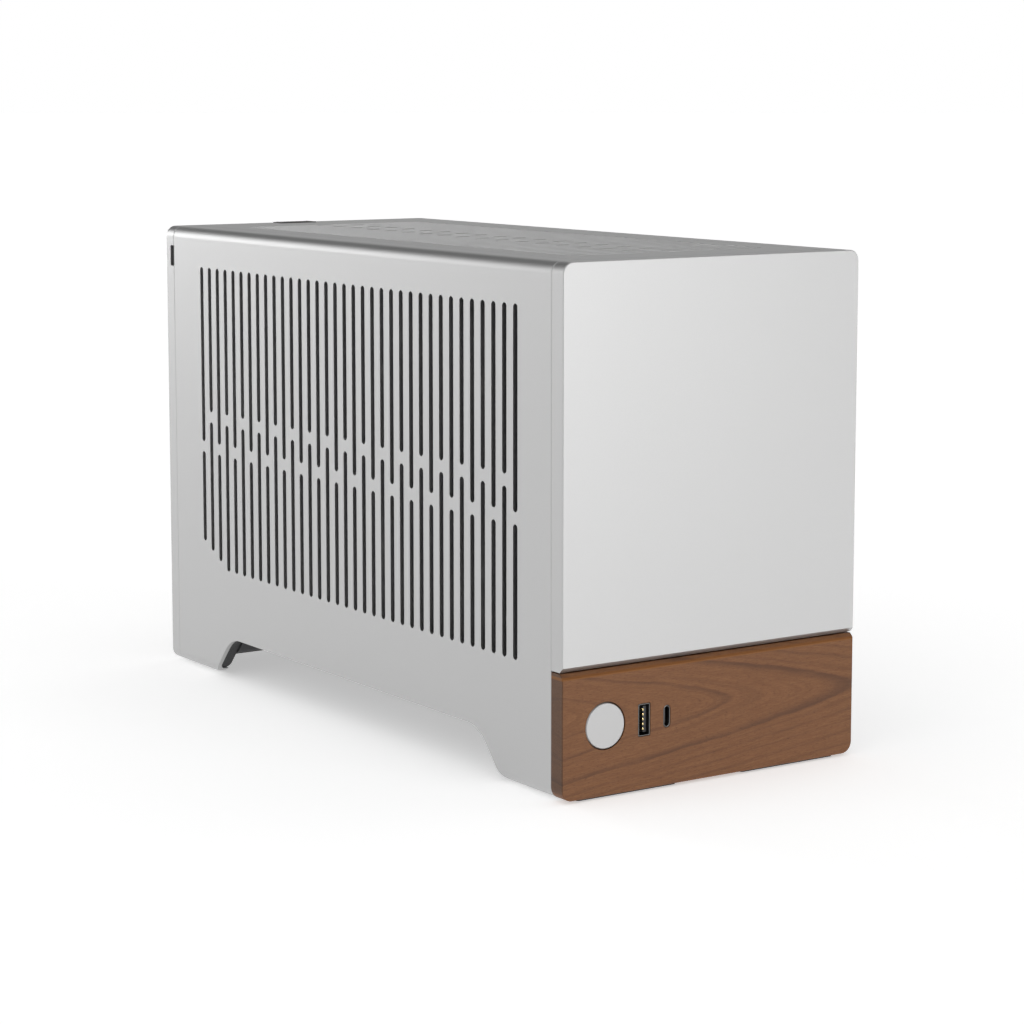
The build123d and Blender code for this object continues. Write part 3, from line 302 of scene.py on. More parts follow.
def metal(name, tone, roughness, stretch=(1, 1, 1), scale=500.0):
    """Plain metal with a fine, stretchable grain."""
    g = Graph(name)
    grain = g.noise(g.stretch(g.place, stretch), scale, 3.0, 0.6)
    cloud = g.noise(g.place, 40.0, 2.0)
    color = g.mix(grain, shade(tone, 0.88), shade(tone, 1.08))
    g.bump(grain, 0.08, 0.00005)
    return g.look(color, g.span(cloud, 0.3, 0.7, roughness - 0.06, roughness + 0.06), 1.0)


def powder_coat(name, tone, roughness=0.5):
    """Finely textured paint on steel, with a faint orange-peel."""
    g = Graph(name)
    pits = g.noise(g.place, 1300.0, 2.0, 0.6)
    peel = g.noise(g.place, 260.0, 1.0)
    color = g.mix(pits, shade(tone, 0.75), shade(tone, 1.35))
    g.bump(g.math("ADD", pits, peel), 0.25, 0.0001)
    return g.look(color, g.span(pits, 0.3, 0.7, roughness - 0.08, roughness + 0.1), 0.0)


def plastic(name, tone, roughness=0.45, scale=900.0, relief=0.12):
    """Moulded plastic with a fine spark-eroded texture."""
    g = Graph(name)
    pits = g.noise(g.place, scale, 2.0, 0.55)
    cloud = g.noise(g.place, 25.0, 2.0)
    color = g.mix(cloud, shade(tone, 0.85), shade(tone, 1.2))
    g.bump(pits, relief, 0.00006)
    return g.look(color, g.span(pits, 0.3, 0.7, roughness - 0.06, roughness + 0.08), 0.0)


# Dark lines of the growth rings, in millimetres: place, width of the slow rise, width of the fall. The last
# number is how dark the line is.
RING_LINES = (
    (-46.0, 9.0, 4.0, 0.35), (8.5, 12.0, 3.5, 0.62), (24.0, 7.0, 5.0, 0.2), (80.0, 20.0, 5.0, 0.85),
    (97.0, 6.0, 5.0, 0.25), (122.0, 10.0, 5.0, 0.45), (150.0, 9.0, 5.0, 0.35), (183.0, 12.0, 6.0, 0.4),
    (222.0, 10.0, 7.0, 0.35), (262.0, 12.0, 7.0, 0.4),
)


def walnut():
    """Oiled walnut: one nested arch of growth rings that opens to the left, fine pores along the grain."""
    g = Graph("walnut_grain")
    mm = g.stretch(g.place, (1000, 1000, 1000))
    axes = g.axes(mm)
    slow = g.noise(g.stretch(mm, (0.022, 0.03, 0.06)), 1.0, 2.0, 0.5)
    ripple = g.noise(g.stretch(mm, (0.07, 0.06, 0.16)), 1.0, 2.0, 0.5)
    middle = g.math("ADD", g.math("MULTIPLY", axes[0], -0.03), 33.8)
    height = g.math("SUBTRACT", axes[2], middle)
    height = g.math("ADD", height, g.math("MULTIPLY", g.math("SUBTRACT", ripple, 0.5), 1.3))
    square = g.math("POWER", g.math("ABSOLUTE", height), 2.0)
    arch = g.math("MULTIPLY", g.math("POWER", g.math("ADD", square, 5.0), 0.65), 2.2)
    ring = g.math("ADD", g.math("SUBTRACT", arch, 5.5), axes[0])
    ring = g.math("ADD", ring, g.math("MULTIPLY", g.math("SUBTRACT", slow, 0.5), 22.0))
    ring = g.math("ADD", ring, g.math("MULTIPLY", axes[1], 0.9))
    ring = g.math("ADD", ring, 154.0)

    # Growth rings: each line darkens slowly towards its outer edge and ends sharply.
    dark = None
    for place, rise, fall, depth in RING_LINES:
        up = g.span(ring, place - rise, place, 0.0, depth)
        down = g.span(ring, place, place + fall, 1.0, 0.0)
        line = g.math("MULTIPLY", up, down)
        dark = line if dark is None else g.math("MAXIMUM", dark, line)
    patchy = g.noise(g.stretch(mm, (0.035, 0.05, 0.12), (7, 0, 3)), 1.0, 2.0, 0.6)
    dark = g.math("MULTIPLY", dark, g.span(patchy, 0.25, 0.6, 0.35, 1.0))

    # Fine streaks follow the rings; pores are short dark dashes.
    along = g.math("MULTIPLY", axes[0], 0.05)
    across = g.math("MULTIPLY", axes[1], 0.12)
    streak = g.noise(g.join(along, across, g.math("MULTIPLY", ring, 0.28)), 1.0, 4.0, 0.65)
    fibre = g.noise(g.stretch(mm, (0.2, 1.6, 2.6), (3, 5, 1)), 1.0, 4.0, 0.75, 0.3)
    pores = g.span(g.noise(g.stretch(mm, (0.5, 2.6, 3.6)), 1.0, 3.0, 0.65), 0.53, 0.66)
    color = g.mix(g.span(streak, 0.25, 0.75), (0.1750, 0.0740, 0.0285), (0.2250, 0.1000, 0.0400))
    color = g.mix(g.span(fibre, 0.35, 0.65, 0.0, 0.5), color, (0.1409, 0.0555, 0.0242))
    color = g.mix(g.math("MULTIPLY", dark, 0.8), color, (0.0773, 0.0326, 0.0175))
    color = g.mix(g.math("MULTIPLY", pores, 0.5), color, (0.0682, 0.0277, 0.0134))

    # Both ends are darker: darker end grain, with painted shade added on these side faces.
    end_grain_and_shade = g.span(g.math("ABSOLUTE", axes[0]), 75.9, 76.3, 0.0, 0.55)
    color = g.mix(end_grain_and_shade, color, (0.045, 0.028, 0.02))
    # Painted highlight: an orange band along the chamfer of the upper edge, where it catches the light.
    chamfer_highlight = g.math("MULTIPLY", g.span(axes[2], 50.6, 51.2), g.span(axes[2], 51.9, 52.4, 1.0, 0.0))
    color = g.mix(g.math("MULTIPLY", chamfer_highlight, 0.75), color, (0.22, 0.08, 0.014))
    relief = g.math("SUBTRACT", g.math("MULTIPLY", fibre, 0.5), pores)
    g.bump(relief, 0.3, 0.00007)
    return g.look(color, g.span(fibre, 0.3, 0.7, 0.42, 0.56), 0.0, **{"Specular IOR Level": 0.25})


def leather():
    """Grained leather: small rounded cells with darker creases."""
    g = Graph("tab_grain")
    cells = g.add("ShaderNodeTexVoronoi", feature="DISTANCE_TO_EDGE")
    g.feed(cells.inputs["Vector"], g.place)
    cells.inputs["Scale"].default_value = 1100.0
    crease = g.span(cells.outputs["Distance"], 0.0, 0.16)
    tone = g.noise(g.place, 120.0, 3.0)
    color = g.mix(crease, (0.012, 0.011, 0.011), (0.042, 0.039, 0.038))
    color = g.mix(g.span(tone, 0.3, 0.7, 0.0, 0.4), color, (0.06, 0.055, 0.052))
    g.bump(crease, 0.5, 0.00012)
    return g.look(color, g.span(crease, 0.0, 1.0, 0.7, 0.48), 0.0)


def circuit(name, tone):
    """Solder mask over fine copper tracks."""
    g = Graph(name)
    cells = g.add("ShaderNodeTexVoronoi", feature="DISTANCE_TO_EDGE", distance="CHEBYCHEV")
    g.feed(cells.inputs["Vector"], g.place)
    cells.inputs["Scale"].default_value = 260.0
    tracks = g.span(cells.outputs["Distance"], 0.03, 0.07)
    fine = g.add("ShaderNodeTexVoronoi", feature="F1", distance="MANHATTAN")
    g.feed(fine.inputs["Vector"], g.place)
    fine.inputs["Scale"].default_value = 700.0
    vias = g.span(fine.outputs["Distance"], 0.1, 0.2, 1.0, 0.0)
    color = g.mix(tracks, shade(tone, 2.4), tone)
    color = g.mix(g.math("MULTIPLY", vias, 0.5), color, shade(tone, 4.5))
    g.bump(tracks, 0.2, 0.00005)
    return g.look(color, g.span(tracks, 0.0, 1.0, 0.3, 0.4), 0.0)


def cable_sleeve():
    """PVC jacket with a faint lay of the cores under it."""
    g = Graph("cable_sleeve")
    grain = g.noise(g.place, 700.0, 2.0)
    twist = g.noise(g.stretch(g.place, (1, 1, 0.4)), 160.0, 2.0)
    color = g.mix(twist, (0.012, 0.012, 0.013), (0.03, 0.03, 0.032))
    g.bump(g.math("ADD", grain, twist), 0.2, 0.0001)
    return g.look(color, g.span(grain, 0.3, 0.7, 0.42, 0.55), 0.0)


ALUMINIUM = (0.505, 0.505, 0.505)
BUTTON_CENTRE = (-0.0551, 0.030)
MATERIALS = {
    "aluminium": blasted_aluminium("anodised_aluminium", ALUMINIUM, 0.42),
    "walnut": walnut(),
    "leather": leather(),
    "rubber": plastic("foot_rubber_grain", (0.012, 0.012, 0.012), 0.75, 700.0, 0.3),
    "steel_black": powder_coat("black_powder_coat", (0.02, 0.02, 0.021)),
    "plastic_black": plastic("black_moulding", (0.02, 0.02, 0.021)),
    "steel": metal("nickel_plated_steel", (0.60, 0.59, 0.57), 0.32),
    "circuit": circuit("black_solder_mask", (0.010, 0.014, 0.012)),
    "brass": metal("turned_brass", (0.70, 0.50, 0.22), 0.3),
    "fins": metal("stamped_fins", (0.70, 0.71, 0.72), 0.34, (1, 8, 1), 300.0),
    "dark_aluminium": metal("black_anodised", (0.035, 0.035, 0.038), 0.42),
    "sleeve": cable_sleeve(),
    "gold": metal("gold_contacts", (0.83, 0.66, 0.32), 0.25),
    "shell": metal("dark_nickel_shell", (0.17, 0.165, 0.16), 0.35),
    "thread": plastic("waxed_thread", (0.33, 0.31, 0.28), 0.7, 2500.0, 0.3),
    "tongue_blue": plastic("blue_insulator", (0.02, 0.10, 0.34), 0.4),
    "audio_blue": plastic("audio_blue_ring", (0.08, 0.22, 0.45), 0.4),
    "audio_green": plastic("audio_green_ring", (0.10, 0.36, 0.08), 0.4),
    "audio_pink": plastic("audio_pink_ring", (0.55, 0.16, 0.22), 0.4),
    "window_amber": plastic("amber_window", (0.45, 0.20, 0.03), 0.25),
    "window_green": plastic("green_window", (0.08, 0.32, 0.08), 0.25),
    "chip_epoxy": plastic("chip_epoxy", (0.018, 0.018, 0.019), 0.55, 1500.0),
    "can_aluminium": metal("capacitor_can", (0.74, 0.74, 0.73), 0.28),
    "ferrite": plastic("ferrite_block", (0.06, 0.06, 0.063), 0.6, 1200.0),
    "ceramic": plastic("ceramic_chips", (0.24, 0.19, 0.13), 0.45, 2500.0),
    "label": metal("brushed_hub_disc", (0.16, 0.16, 0.17), 0.38),
    "button": turned_aluminium("turned_button", (0.46, 0.46, 0.46), 0.42, *BUTTON_CENTRE),
}

SLOT_LOOKS = {
    "silver_aluminium": "aluminium",
    "walnut": "walnut",
    "tab_leather": "leather",
    "foot_rubber": "rubber",
    "black_steel": "steel_black",
    "black_plastic": "plastic_black",
    "plated_steel": "steel",
    "circuit_board": "circuit",
    "standoff_brass": "brass",
    "fin_aluminium": "fins",
    "dark_aluminium": "dark_aluminium",
    "cable_jacket": "sleeve",
}


def dress(node, material):
    """Gives a CAD node a material on its object's slots."""
    for slot in nodes[node].material_slots:
        slot.link = "OBJECT"
        slot.material = material


for entry in frame["record"]["subparts"]:
    dress(entry["node"], MATERIALS[SLOT_LOOKS[entry["material_slot"]]])
dress("power_button_cap", MATERIALS["button"])


# ---------------------------------------------------------------- shapes


def placed(axis, a, b, height):
    """The point at a height along axis and at (a, b) in the other two."""
    return {"X": (height, a, b), "Y": (a, height, b), "Z": (a, b, height)}[axis]


class Shape:
    """Collects beveled solids, in millimetres, into one mesh."""

    def __init__(self):
        self.bm = bmesh.new()

    def round_off(self, edges, bevel, segments):
        """Bevels edges, unless the bevel is zero."""
        if bevel:
            bmesh.ops.bevel(
                self.bm, geom=edges, offset=bevel, segments=segments, profile=0.5, affect="EDGES")

    def box(self, x, y, z, bevel=0.2, segments=2):
        """A beveled block between pairs of coordinates."""
        made = bmesh.ops.create_cube(self.bm, size=1.0)
        size = Vector((x[1] - x[0], y[1] - y[0], z[1] - z[0]))
        centre = Vector(((x[0] + x[1]) / 2, (y[0] + y[1]) / 2, (z[0] + z[1]) / 2))
        for v in made["verts"]:
            v.co = Vector(a * b for a, b in zip(v.co, size)) + centre
        edges = dict.fromkeys(e for v in made["verts"] for e in v.link_edges)
        self.round_off(list(edges), bevel, segments)
        return self

    def prism(self, outline, axis, low, high, bevel=0.0, segments=2):
        """An outline of (a, b) points extruded along axis: X takes (y, z), Y (x, z) and Z (x, y)."""
        base = [self.bm.verts.new(placed(axis, a, b, low)) for a, b in outline]
        top = [self.bm.verts.new(placed(axis, a, b, high)) for a, b in outline]
        faces = [self.bm.faces.new(base), self.bm.faces.new(top)]
        for i in range(len(base)):
            j = (i + 1) % len(base)
            faces.append(self.bm.faces.new((base[i], base[j], top[j], top[i])))
        bmesh.ops.recalc_face_normals(self.bm, faces=faces)
        self.round_off([*faces[0].edges, *faces[1].edges], bevel, segments)
        return self

    def disc(self, axis, a, b, low, high, radius, bevel=0.2, sides=40):
        """A cylinder along axis, centred at (a, b) in the other two."""
        return self.prism(circle(a, b, radius, sides), axis, low, high, bevel)

    def ring(self, axis, outer, inner, low, high, bevel=0.0):
        """Two outlines with the same number of points, as a tube between low and high."""
        count = len(outer)
        loops = []
        for path, height in ((outer, low), (outer, high), (inner, high), (inner, low)):
            loops.append([self.bm.verts.new(placed(axis, a, b, height)) for a, b in path])
        faces = []
        for first, second in zip(loops, loops[1:] + loops[:1]):
            for i in range(count):
                j = (i + 1) % count
                faces.append(self.bm.faces.new((first[i], first[j], second[j], second[i])))
        bmesh.ops.recalc_face_normals(self.bm, faces=faces)
        end_grain_and_shade = [(loop[i], loop[(i + 1) % count]) for loop in loops for i in range(count)]
        self.round_off([self.bm.edges.get(pair) for pair in end_grain_and_shade], bevel, 2)
        return self

    def piece(self, name, material, body, slot, *replaced):
        """Makes the object, in metres, riding on a body and standing in for the replaced CAD nodes."""
        bmesh.ops.scale(self.bm, vec=(MM, MM, MM), verts=self.bm.verts)
        mesh = bpy.data.meshes.new(name)
        self.bm.to_mesh(mesh)
        self.bm.free()
        mesh.shade_smooth()
        mesh.set_sharp_from_angle(angle=math.radians(38.0))
        mesh.materials.append(material)
        made = bpy.data.objects.new(name, mesh)
        scene.collection.objects.link(made)
        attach(made, body)
        if replaced:
            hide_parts(*replaced)
        return made


def circle(a, b, radius, sides=40):
    """Points of a circle about (a, b), counter-clockwise."""
    turn = [2 * math.pi * i / sides for i in range(sides)]
    return [(a + radius * math.cos(t), b + radius * math.sin(t)) for t in turn]


def rounded(x, z, width, height, radius, steps=6):
    """Points of a rounded rectangle, counter-clockwise."""
    points = []
    for cx, cz, start in ((1, 1, 0), (-1, 1, 90), (-1, -1, 180), (1, -1, 270)):
        for i in range(steps + 1):
            t = math.radians(start + 90 * i / steps)
            points.append((x + cx * (width / 2 - radius) + radius * math.cos(t),
                           z + cz * (height / 2 - radius) + radius * math.sin(t)))
    return points


# ---------------------------------------------------------------- front ports

FRONT = cad_box[0][1] / MM
PORT_Z = 30.0
USB_A_X = -35.5
USB_C_X = -23.9
PORT_BACK = -150.0          # where both port shells end


def usb_a():
    """Upright USB-A port: folded shell, black tongue with contacts, spring tabs in the shell."""
    outer = rounded(USB_A_X, PORT_Z, 5.9, 13.4, 0.6)
    inner = rounded(USB_A_X, PORT_Z, 5.2, 12.7, 0.3)
    shell = Shape().ring("Y", outer, inner, FRONT + 0.1, PORT_BACK, 0.08)
    shell.prism(rounded(USB_A_X, PORT_Z, 5.3, 12.8, 0.3), "Y", PORT_BACK - 0.6, PORT_BACK)
    spring = [
        (USB_A_X - 2.62, -170.4), (USB_A_X - 1.5, -166.0), (USB_A_X - 1.25, -162.8), (USB_A_X - 1.9, -161.0),
        (USB_A_X - 2.2, -161.0), (USB_A_X - 1.55, -162.9), (USB_A_X - 1.8, -166.0), (USB_A_X - 2.9, -170.4),
    ]
    for z in (PORT_Z - 3.4, PORT_Z + 3.4):
        shell.prism(spring, "Z", z - 1.1, z + 1.1)
    shell.piece("front_usb_a_shell", MATERIALS["shell"], "case", "plated_steel", "front_usb_a_port")
    tongue = Shape()
    blade = (PORT_Z - 5.5, PORT_Z + 5.5)
    block = (PORT_Z - 6.3, PORT_Z + 6.3)
    tongue.box((USB_A_X + 0.1, USB_A_X + 1.9), (FRONT + 1.2, PORT_BACK - 0.8), blade, 0.15)
    tongue.box((USB_A_X - 2.6, USB_A_X + 2.6), (PORT_BACK - 2.0, PORT_BACK - 0.6), block, 0.1)
    tongue.piece("front_usb_a_tongue", MATERIALS["plastic_black"], "case", "black_plastic")
    pins = Shape()
    for i in range(5):
        z = PORT_Z + 2.0 * (i - 2)
        pins.box((USB_A_X - 0.12, USB_A_X + 0.12), (FRONT + 1.9, FRONT + 9.0), (z - 0.45, z + 0.45), 0.05)
        pins.box((USB_A_X - 0.12, USB_A_X + 0.5), (FRONT + 1.15, FRONT + 2.0), (z - 0.45, z + 0.45), 0.05)
    pins.piece("front_usb_a_contacts", MATERIALS["gold"], "case", "standoff_brass")


def usb_c():
    """Upright USB-C port: drawn shell, thin tongue with contacts."""
    outer = rounded(USB_C_X, PORT_Z, 3.3, 9.1, 1.64, 10)
    inner = rounded(USB_C_X, PORT_Z, 2.6, 8.4, 1.29, 10)
    shell = Shape().ring("Y", outer, inner, FRONT + 0.1, PORT_BACK, 0.08)
    shell.prism(rounded(USB_C_X, PORT_Z, 2.7, 8.5, 1.3, 10), "Y", PORT_BACK - 0.6, PORT_BACK)
    shell.piece("front_usb_c_shell", MATERIALS["shell"], "case", "plated_steel", "front_usb_c_port")
    tongue = Shape().prism(rounded(USB_C_X, PORT_Z, 0.7, 6.6, 0.3), "Y", FRONT + 1.6, PORT_BACK - 0.8, 0.1)
    tongue.prism(rounded(USB_C_X, PORT_Z, 2.4, 8.2, 1.15, 10), "Y", PORT_BACK - 8.0, PORT_BACK - 0.6)
    tongue.piece("front_usb_c_tongue", MATERIALS["plastic_black"], "case", "black_plastic")
    pins = Shape()
    for i in range(12):
        z = PORT_Z + 0.5 * (i - 5.5)
        for side in (-1, 1):
            x = USB_C_X + side * 0.36
            pins.box((x - 0.04, x + 0.04), (FRONT + 2.0, FRONT + 6.5), (z - 0.13, z + 0.13), 0.0)
    pins.piece("front_usb_c_contacts", MATERIALS["gold"], "case", "standoff_brass")


# ---------------------------------------------------------------- pull tab

TAB_X = -6.4


def pull_tab():
    """The leather strap: folded over the edge, stitched along both sides and across the hanging end."""
    left = TAB_X - 10.2
    right = TAB_X + 10.2
    fold = [
        (161.9, 217.6), (169.9, 217.6), (170.0, 217.5), (170.0, 203.9), (170.5, 203.7), (171.0, 203.7),
        (171.5, 204.2), (171.5, 217.6), (171.3, 218.4), (170.8, 218.9), (170.0, 219.1), (162.1, 219.1),
        (161.9, 218.8),
    ]
    strap = Shape().prism(fold, "X", left, right, 0.35, 3)
    strap.piece("pull_tab_strap", MATERIALS["leather"], "top_lid", "tab_leather", "top_pull_tab")
    thread = Shape()
    for x in (left + 1.6, right - 1.6):
        for i in range(3):
            y = 162.6 + 2.6 * i
            thread.box((x - 0.22, x + 0.22), (y, y + 1.7), (219.0, 219.25), 0.1)
        for i in range(6):
            z = 204.6 + 2.2 * i
            thread.box((x - 0.22, x + 0.22), (171.4, 171.6), (z, z + 1.5), 0.08)
    for i in range(8):
        x = left + 2.4 + 2.0 * i
        thread.box((x, x + 1.3), (171.4, 171.6), (204.9, 205.3), 0.08)
    thread.piece("pull_tab_stitches", MATERIALS["thread"], "top_lid", "tab_leather")


# ---------------------------------------------------------------- rear ports

# Middle and height of each pair of stacked sockets
USB_PAIRS = ((188.0, 13.0), (169.5, 14.0), (151.5, 14.0), (111.5, 14.0), (92.5, 14.0))
USB_X = -22.1
NETWORK_Z = 132.0
AUDIO_X = -21.1
AUDIO = ((79.0, "audio_blue"), (68.0, "audio_green"), (57.0, "audio_pink"))
# Middle and height of the card's video ports
VIDEO_PORTS = ((166, 16.4), (144, 16.4), (122, 16.4), (100, 15.2))
INLET_X = 38.0
INLET_Z = 53.0


def rear_usb():
    """A plastic tongue over each metal one, with its row of contacts, and spring tabs on the shells."""
    tongues, pins, springs = Shape(), Shape(), Shape()
    for z, height in USB_PAIRS:
        for middle in (z - height / 4, z + height / 4):
            tongues.box((USB_X - 5.7, USB_X + 5.7), (150.2, 162.0), (middle - 0.2, middle + 1.3), 0.12)
            for k in range(4):
                x = USB_X - 3.75 + 2.5 * k
                pins.box((x - 0.5, x + 0.5), (152.0, 161.4), (middle - 0.35, middle - 0.15), 0.05)
            for x in (USB_X - 2.6, USB_X + 2.6):
                top = middle + height / 4 - 0.85
                leaf = [
                    (150.5, top), (162.6, top), (162.6, top - 0.15),
                    (158.0, top - 0.75), (155.5, top - 0.15), (150.5, top - 0.15),
                ]
                springs.prism(leaf, "X", x - 0.9, x + 0.9)
    tongues.piece("rear_usb_tongues", MATERIALS["tongue_blue"], "case", "black_plastic")
    pins.piece("rear_usb_contacts", MATERIALS["gold"], "case", "standoff_brass")
    springs.piece("rear_usb_springs", MATERIALS["steel"], "case", "plated_steel")


def rear_network():
    """The network socket's black insert, its eight contacts and two light windows."""
    outer = rounded(USB_X, NETWORK_Z, 12.5, 14.2, 0.4)
    mouth = rounded(USB_X, NETWORK_Z, 10.9, 12.4, 0.3)
    insert = Shape().ring("Y", outer, mouth, 151.0, 162.9)
    insert.prism(outer, "Y", 150.1, 151.0)
    insert.piece("network_insert", MATERIALS["plastic_black"], "case", "black_plastic")
    wires = Shape()
    bent = [
        (USB_X + 5.2, 151.2), (USB_X + 5.2, 161.6), (USB_X + 4.9, 161.6), (USB_X + 1.9, 154.0),
        (USB_X + 2.2, 153.6), (USB_X + 4.8, 159.8), (USB_X + 4.8, 151.2),
    ]
    for i in range(8):
        z = NETWORK_Z + 1.02 * (i - 3.5)
        wires.prism(bent, "Z", z - 0.2, z + 0.2)
    wires.piece("network_contacts", MATERIALS["gold"], "case", "standoff_brass")
    for name, z in (("amber", NETWORK_Z - 5.2), ("green", NETWORK_Z + 5.2)):
        lamp = Shape().box((USB_X - 6.1, USB_X - 4.2), (162.0, 163.1), (z - 1.0, z + 1.0), 0.15)
        lamp.piece("network_window_" + name, MATERIALS["window_" + name], "case", "black_plastic")


def rear_audio():
    """Coloured rings and plated throats of the audio sockets."""
    throats = Shape()
    for z, colour in AUDIO:
        ring = Shape().ring("Y", circle(AUDIO_X, z, 4.15), circle(AUDIO_X, z, 2.3), 163.9, 164.5, 0.12)
        ring.piece(colour + "_ring", MATERIALS[colour], "case", "black_plastic")
        throats.ring("Y", circle(AUDIO_X, z, 2.35), circle(AUDIO_X, z, 1.8), 158.0, 164.55, 0.05)
    throats.piece("audio_throats", MATERIALS["steel"], "case", "plated_steel")


def notch_dark_block():
    """A black block that fills the rear frame's notch and keeps it dark."""
    notch_block = Shape().box((-75.7, -73.2), (163.7, 166.9), (199.5, 209.2), 0.3)
    notch_block.piece("notch_dark_block", MATERIALS["plastic_black"], "case", "black_plastic")


def inlet_pins():
    """Plated blades of the rear mains inlet and washers under its two screws."""
    blades = Shape()
    for dx, dz in ((-7, -1.5), (0, 2.5), (7, -1.5)):
        x, z = INLET_X + dx, INLET_Z + dz
        blades.box((x - 1.06, x + 1.06), (150.0, 163.1), (z - 2.06, z + 2.06), 0.3)
    blades.piece("rear_inlet_blades", MATERIALS["steel"], "case", "plated_steel")
    washers = Shape()
    for dx in (-20, 20):
        x = INLET_X + dx
        washers.ring("Y", circle(x, INLET_Z, 3.6), circle(x, INLET_Z, 2.7), 165.85, 166.15, 0.08)
    washers.piece("rear_inlet_washers", MATERIALS["steel"], "case", "plated_steel")


def video_contacts():
    """Dark insulators with contacts over the card's video tongues."""
    tongues, pins = Shape(), Shape()
    for z, height in VIDEO_PORTS:
        reach = height / 2 - 2.5
        tongues.box((21.1, 22.5), (150.5, 160.3), (z - reach, z + reach), 0.12)
        for i in range(9):
            zi = z + (i - 4) * (reach * 1.7 / 8)
            for x in (21.05, 22.55):
                pins.box((x - 0.06, x + 0.06), (153.0, 160.0), (zi - 0.22, zi + 0.22), 0.0)
    tongues.piece("video_tongues", MATERIALS["plastic_black"], "case", "black_plastic")
    pins.piece("video_contacts", MATERIALS["gold"], "case", "standoff_brass")


# ---------------------------------------------------------------- inside

BOARD_FACE = -13.6
# Centre, width and height of the chips on the main board, in Y and Z
CHIPS = (
    (134, 90, 7, 7), (134, 60, 9, 12), (26, 72, 6, 9), (2, 66, 8, 12), (-2, 88, 7, 7), (134, 196, 6, 8),
    (120, 46, 10, 5), (2, 180, 7, 9), (15, 202.5, 9, 5),
)
HEADERS = ((48, 9), (158, 4), (166, 4))     # middle in Z and number of pins in a row
SUPPLY_FAN_Y = -78.0
SUPPLY_FAN_Z = 124.5
SUPPLY_SOCKETS = ((-46, 127, 52), (-26, 150, 30), (-44, 84, 24), (-20, 84, 30))     # X, Z and height
CARD_FAN_Z = 133.0


def taken(y, z):
    """Whether bigger parts stand at this place of the board."""
    cooler = 33 < y < 131 and 92 < z < 188
    memory = 5 < y < 22 and z > 54
    ports = y > 130 and z > 98
    below_cooler = 12 < y < 106 and z < 84
    return cooler or memory or ports or below_cooler


def board_parts():
    """Small components of the main board, which stand off its face towards -X."""
    rng = random.Random(11)
    black, silver, ferrite, cream, gold = Shape(), Shape(), Shape(), Shape(), Shape()

    def can(y, z, radius, height):
        silver.disc("X", y, z, BOARD_FACE - height, BOARD_FACE, radius, 0.35, 24)
        base = 2 * radius + 0.6
        black.prism(rounded(y, z, base, base, 0.5, 2), "X", BOARD_FACE - 1.0, BOARD_FACE + 0.2)

    def chip(y, z, width, height):
        across, up = width / 2, height / 2
        black.box((BOARD_FACE - 1.3, BOARD_FACE - 0.3), (y - across, y + across), (z - up, z + up), 0.12)
        count = int(height / 1.3)
        reach = (y - across - 0.9, y + across + 0.9)
        for i in range(count):
            at = z - up + height * (i + 0.5) / count
            silver.box((BOARD_FACE - 0.5, BOARD_FACE + 0.1), reach, (at - 0.22, at + 0.22), 0.0)

    for i in range(7):
        can(117.5 + rng.uniform(-0.4, 0.4), 50 + 6.4 * i, 2.4, 6.6)
        can(124.5, 52 + 6.4 * i, 2.0, 5.4)
    for i in range(8):
        ferrite.box((BOARD_FACE - 6.5, BOARD_FACE), (36 + 11 * i, 45 + 11 * i), (191.5, 200.5), 0.8)
        can(40.5 + 11 * i, 205.0, 2.6, 7.5)
    for i in range(6):
        can(30.5, 92 + 13 * i, 2.8, 7.5)
    for place in CHIPS:
        chip(*place)
    for _ in range(130):
        y = rng.uniform(-7, 138)
        z = rng.uniform(43, 208)
        if taken(y, z):
            continue
        long, tall = rng.choice(((1.6, 0.8), (0.8, 1.6), (2.0, 1.25)))
        along = (y - long / 2, y + long / 2)
        cream.box((BOARD_FACE - 0.6, BOARD_FACE), along, (z - tall / 2, z + tall / 2), 0.08, 1)
    for z, count in HEADERS:
        black.box((BOARD_FACE - 2.5, BOARD_FACE), (-8, -3), (z - 1.27 * count, z + 1.27 * count), 0.1)
        for i in range(count):
            for y in (-6.8, -4.2):
                at = z + 2.54 * (i - (count - 1) / 2)
                thick = (y - 0.32, y + 0.32)
                gold.box((BOARD_FACE - 8.5, BOARD_FACE - 2), thick, (at - 0.32, at + 0.32), 0.05, 1)
    black.piece("board_chips", MATERIALS["chip_epoxy"], "case", "black_plastic")
    silver.piece("board_capacitors", MATERIALS["can_aluminium"], "case", "plated_steel")
    ferrite.piece("board_chokes", MATERIALS["ferrite"], "case", "black_plastic")
    cream.piece("board_small_parts", MATERIALS["ceramic"], "case", "black_plastic")
    gold.piece("board_pins", MATERIALS["gold"], "case", "standoff_brass")


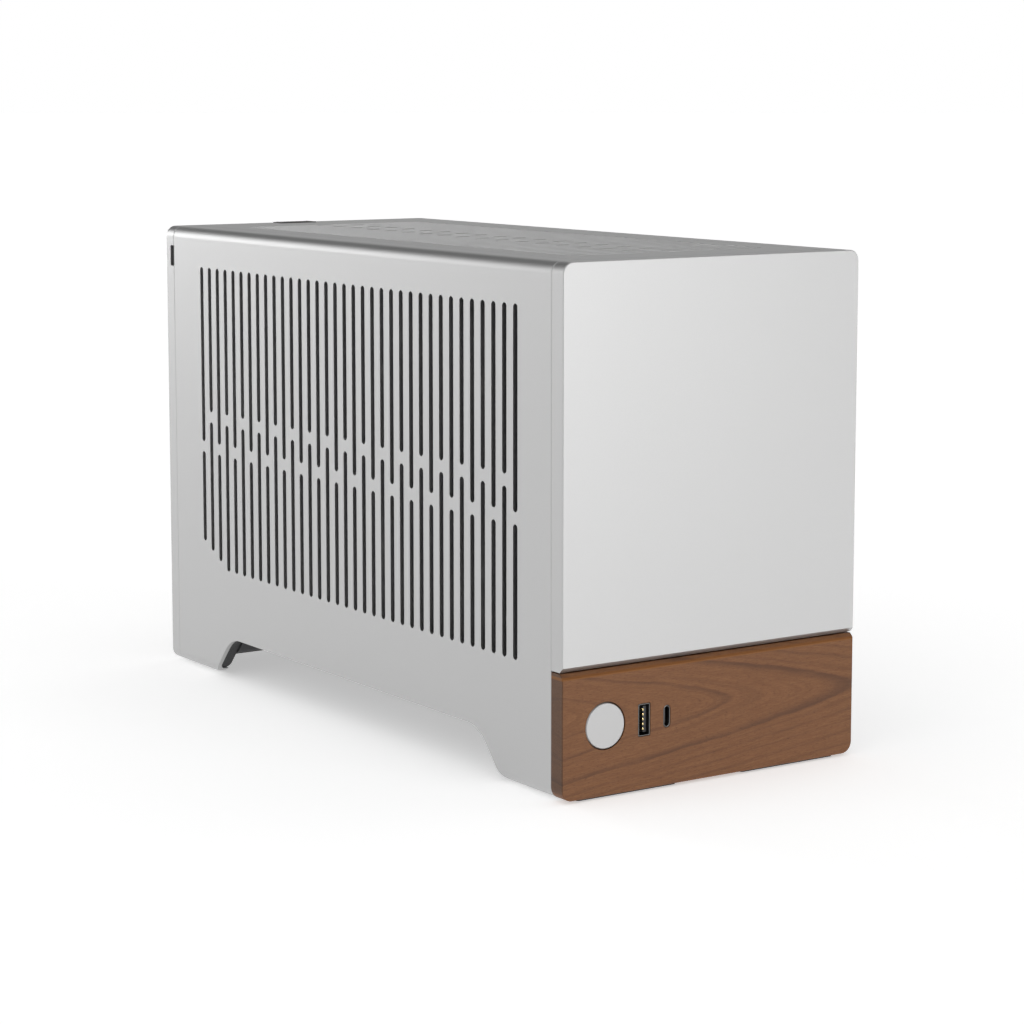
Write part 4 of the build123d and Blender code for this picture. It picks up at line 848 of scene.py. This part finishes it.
def fan_caps():
    """A brushed disc on each fan's hub, facing away from the middle of the computer."""
    for body, x, y, z, radius in (
        ("cpu_fan", -61.6, 82.0, 140.0, 13.3),
        ("psu_fan", -68.9, SUPPLY_FAN_Y, SUPPLY_FAN_Z, 13.3),
        ("gpu_fan_back", 56.5, 98.0, CARD_FAN_Z, 12.3),
        ("gpu_fan_fore", 56.5, -18.0, CARD_FAN_Z, 12.3),
    ):
        toward = math.copysign(1.0, x)
        low, high = sorted((x - 0.3 * toward, x + 0.14 * toward))
        disc = Shape().disc("X", y, z, low, high, radius, 0.05, 64)
        disc.piece(body + "_hub_disc", MATERIALS["label"], body, "dark_aluminium")


def output_pins():
    """Contacts in the power supply's sockets."""
    pins = Shape()
    for x, z, height in SUPPLY_SOCKETS:
        rows = int((height - 4) / 4.2)
        for i in range(rows):
            at = z + 4.2 * (i - (rows - 1) / 2)
            for dx in (-2.1, 2.1):
                pins.box((x + dx - 0.55, x + dx + 0.55), (-27.2, -24.8), (at - 0.55, at + 0.55), 0.12, 1)
    pins.piece("output_pins", MATERIALS["gold"], "case", "standoff_brass")


def supply_fixings():
    """Screw heads of the fan guard and along the power supply's case seam."""
    heads = Shape()
    for turn in (45, 135, 225, 315):
        y = SUPPLY_FAN_Y + 56 * math.cos(math.radians(turn))
        z = SUPPLY_FAN_Z + 56 * math.sin(math.radians(turn))
        heads.disc("X", y, z, -71.3, -70.4, 2.6, 0.45, 28)
    for y in (-122, -34):
        for z in (67, 182):
            heads.disc("X", y, z, -71.1, -70.4, 2.3, 0.35, 28)
    heads.piece("supply_screws", MATERIALS["steel"], "case", "plated_steel")


def card_fixings():
    """Screws on the card's cover and back plate, and ribs between the cover's two fans."""
    heads = Shape()
    for y in (-72, 40, 150):
        for z in (90, 176):
            heads.disc("X", y, z, 57.3, 57.9, 2.0, 0.3, 24)
            heads.disc("X", y, z, 6.6, 7.2, 2.2, 0.3, 24)
    heads.piece("card_screws", MATERIALS["steel"], "case", "plated_steel")
    ribs = Shape()
    for z in (104, 112, 154, 162):
        ribs.box((57.2, 57.9), (32, 48), (z - 1.2, z + 1.2), 0.3)
    ribs.piece("card_cover_ribs", MATERIALS["plastic_black"], "case", "black_plastic")


usb_a()
usb_c()
pull_tab()
rear_usb()
rear_network()
rear_audio()
notch_dark_block()
inlet_pins()
video_contacts()
board_parts()
fan_caps()
output_pins()
supply_fixings()
card_fixings()

add_camera()
add_world()
add_floor()
scene.view_settings.view_transform = "Standard"
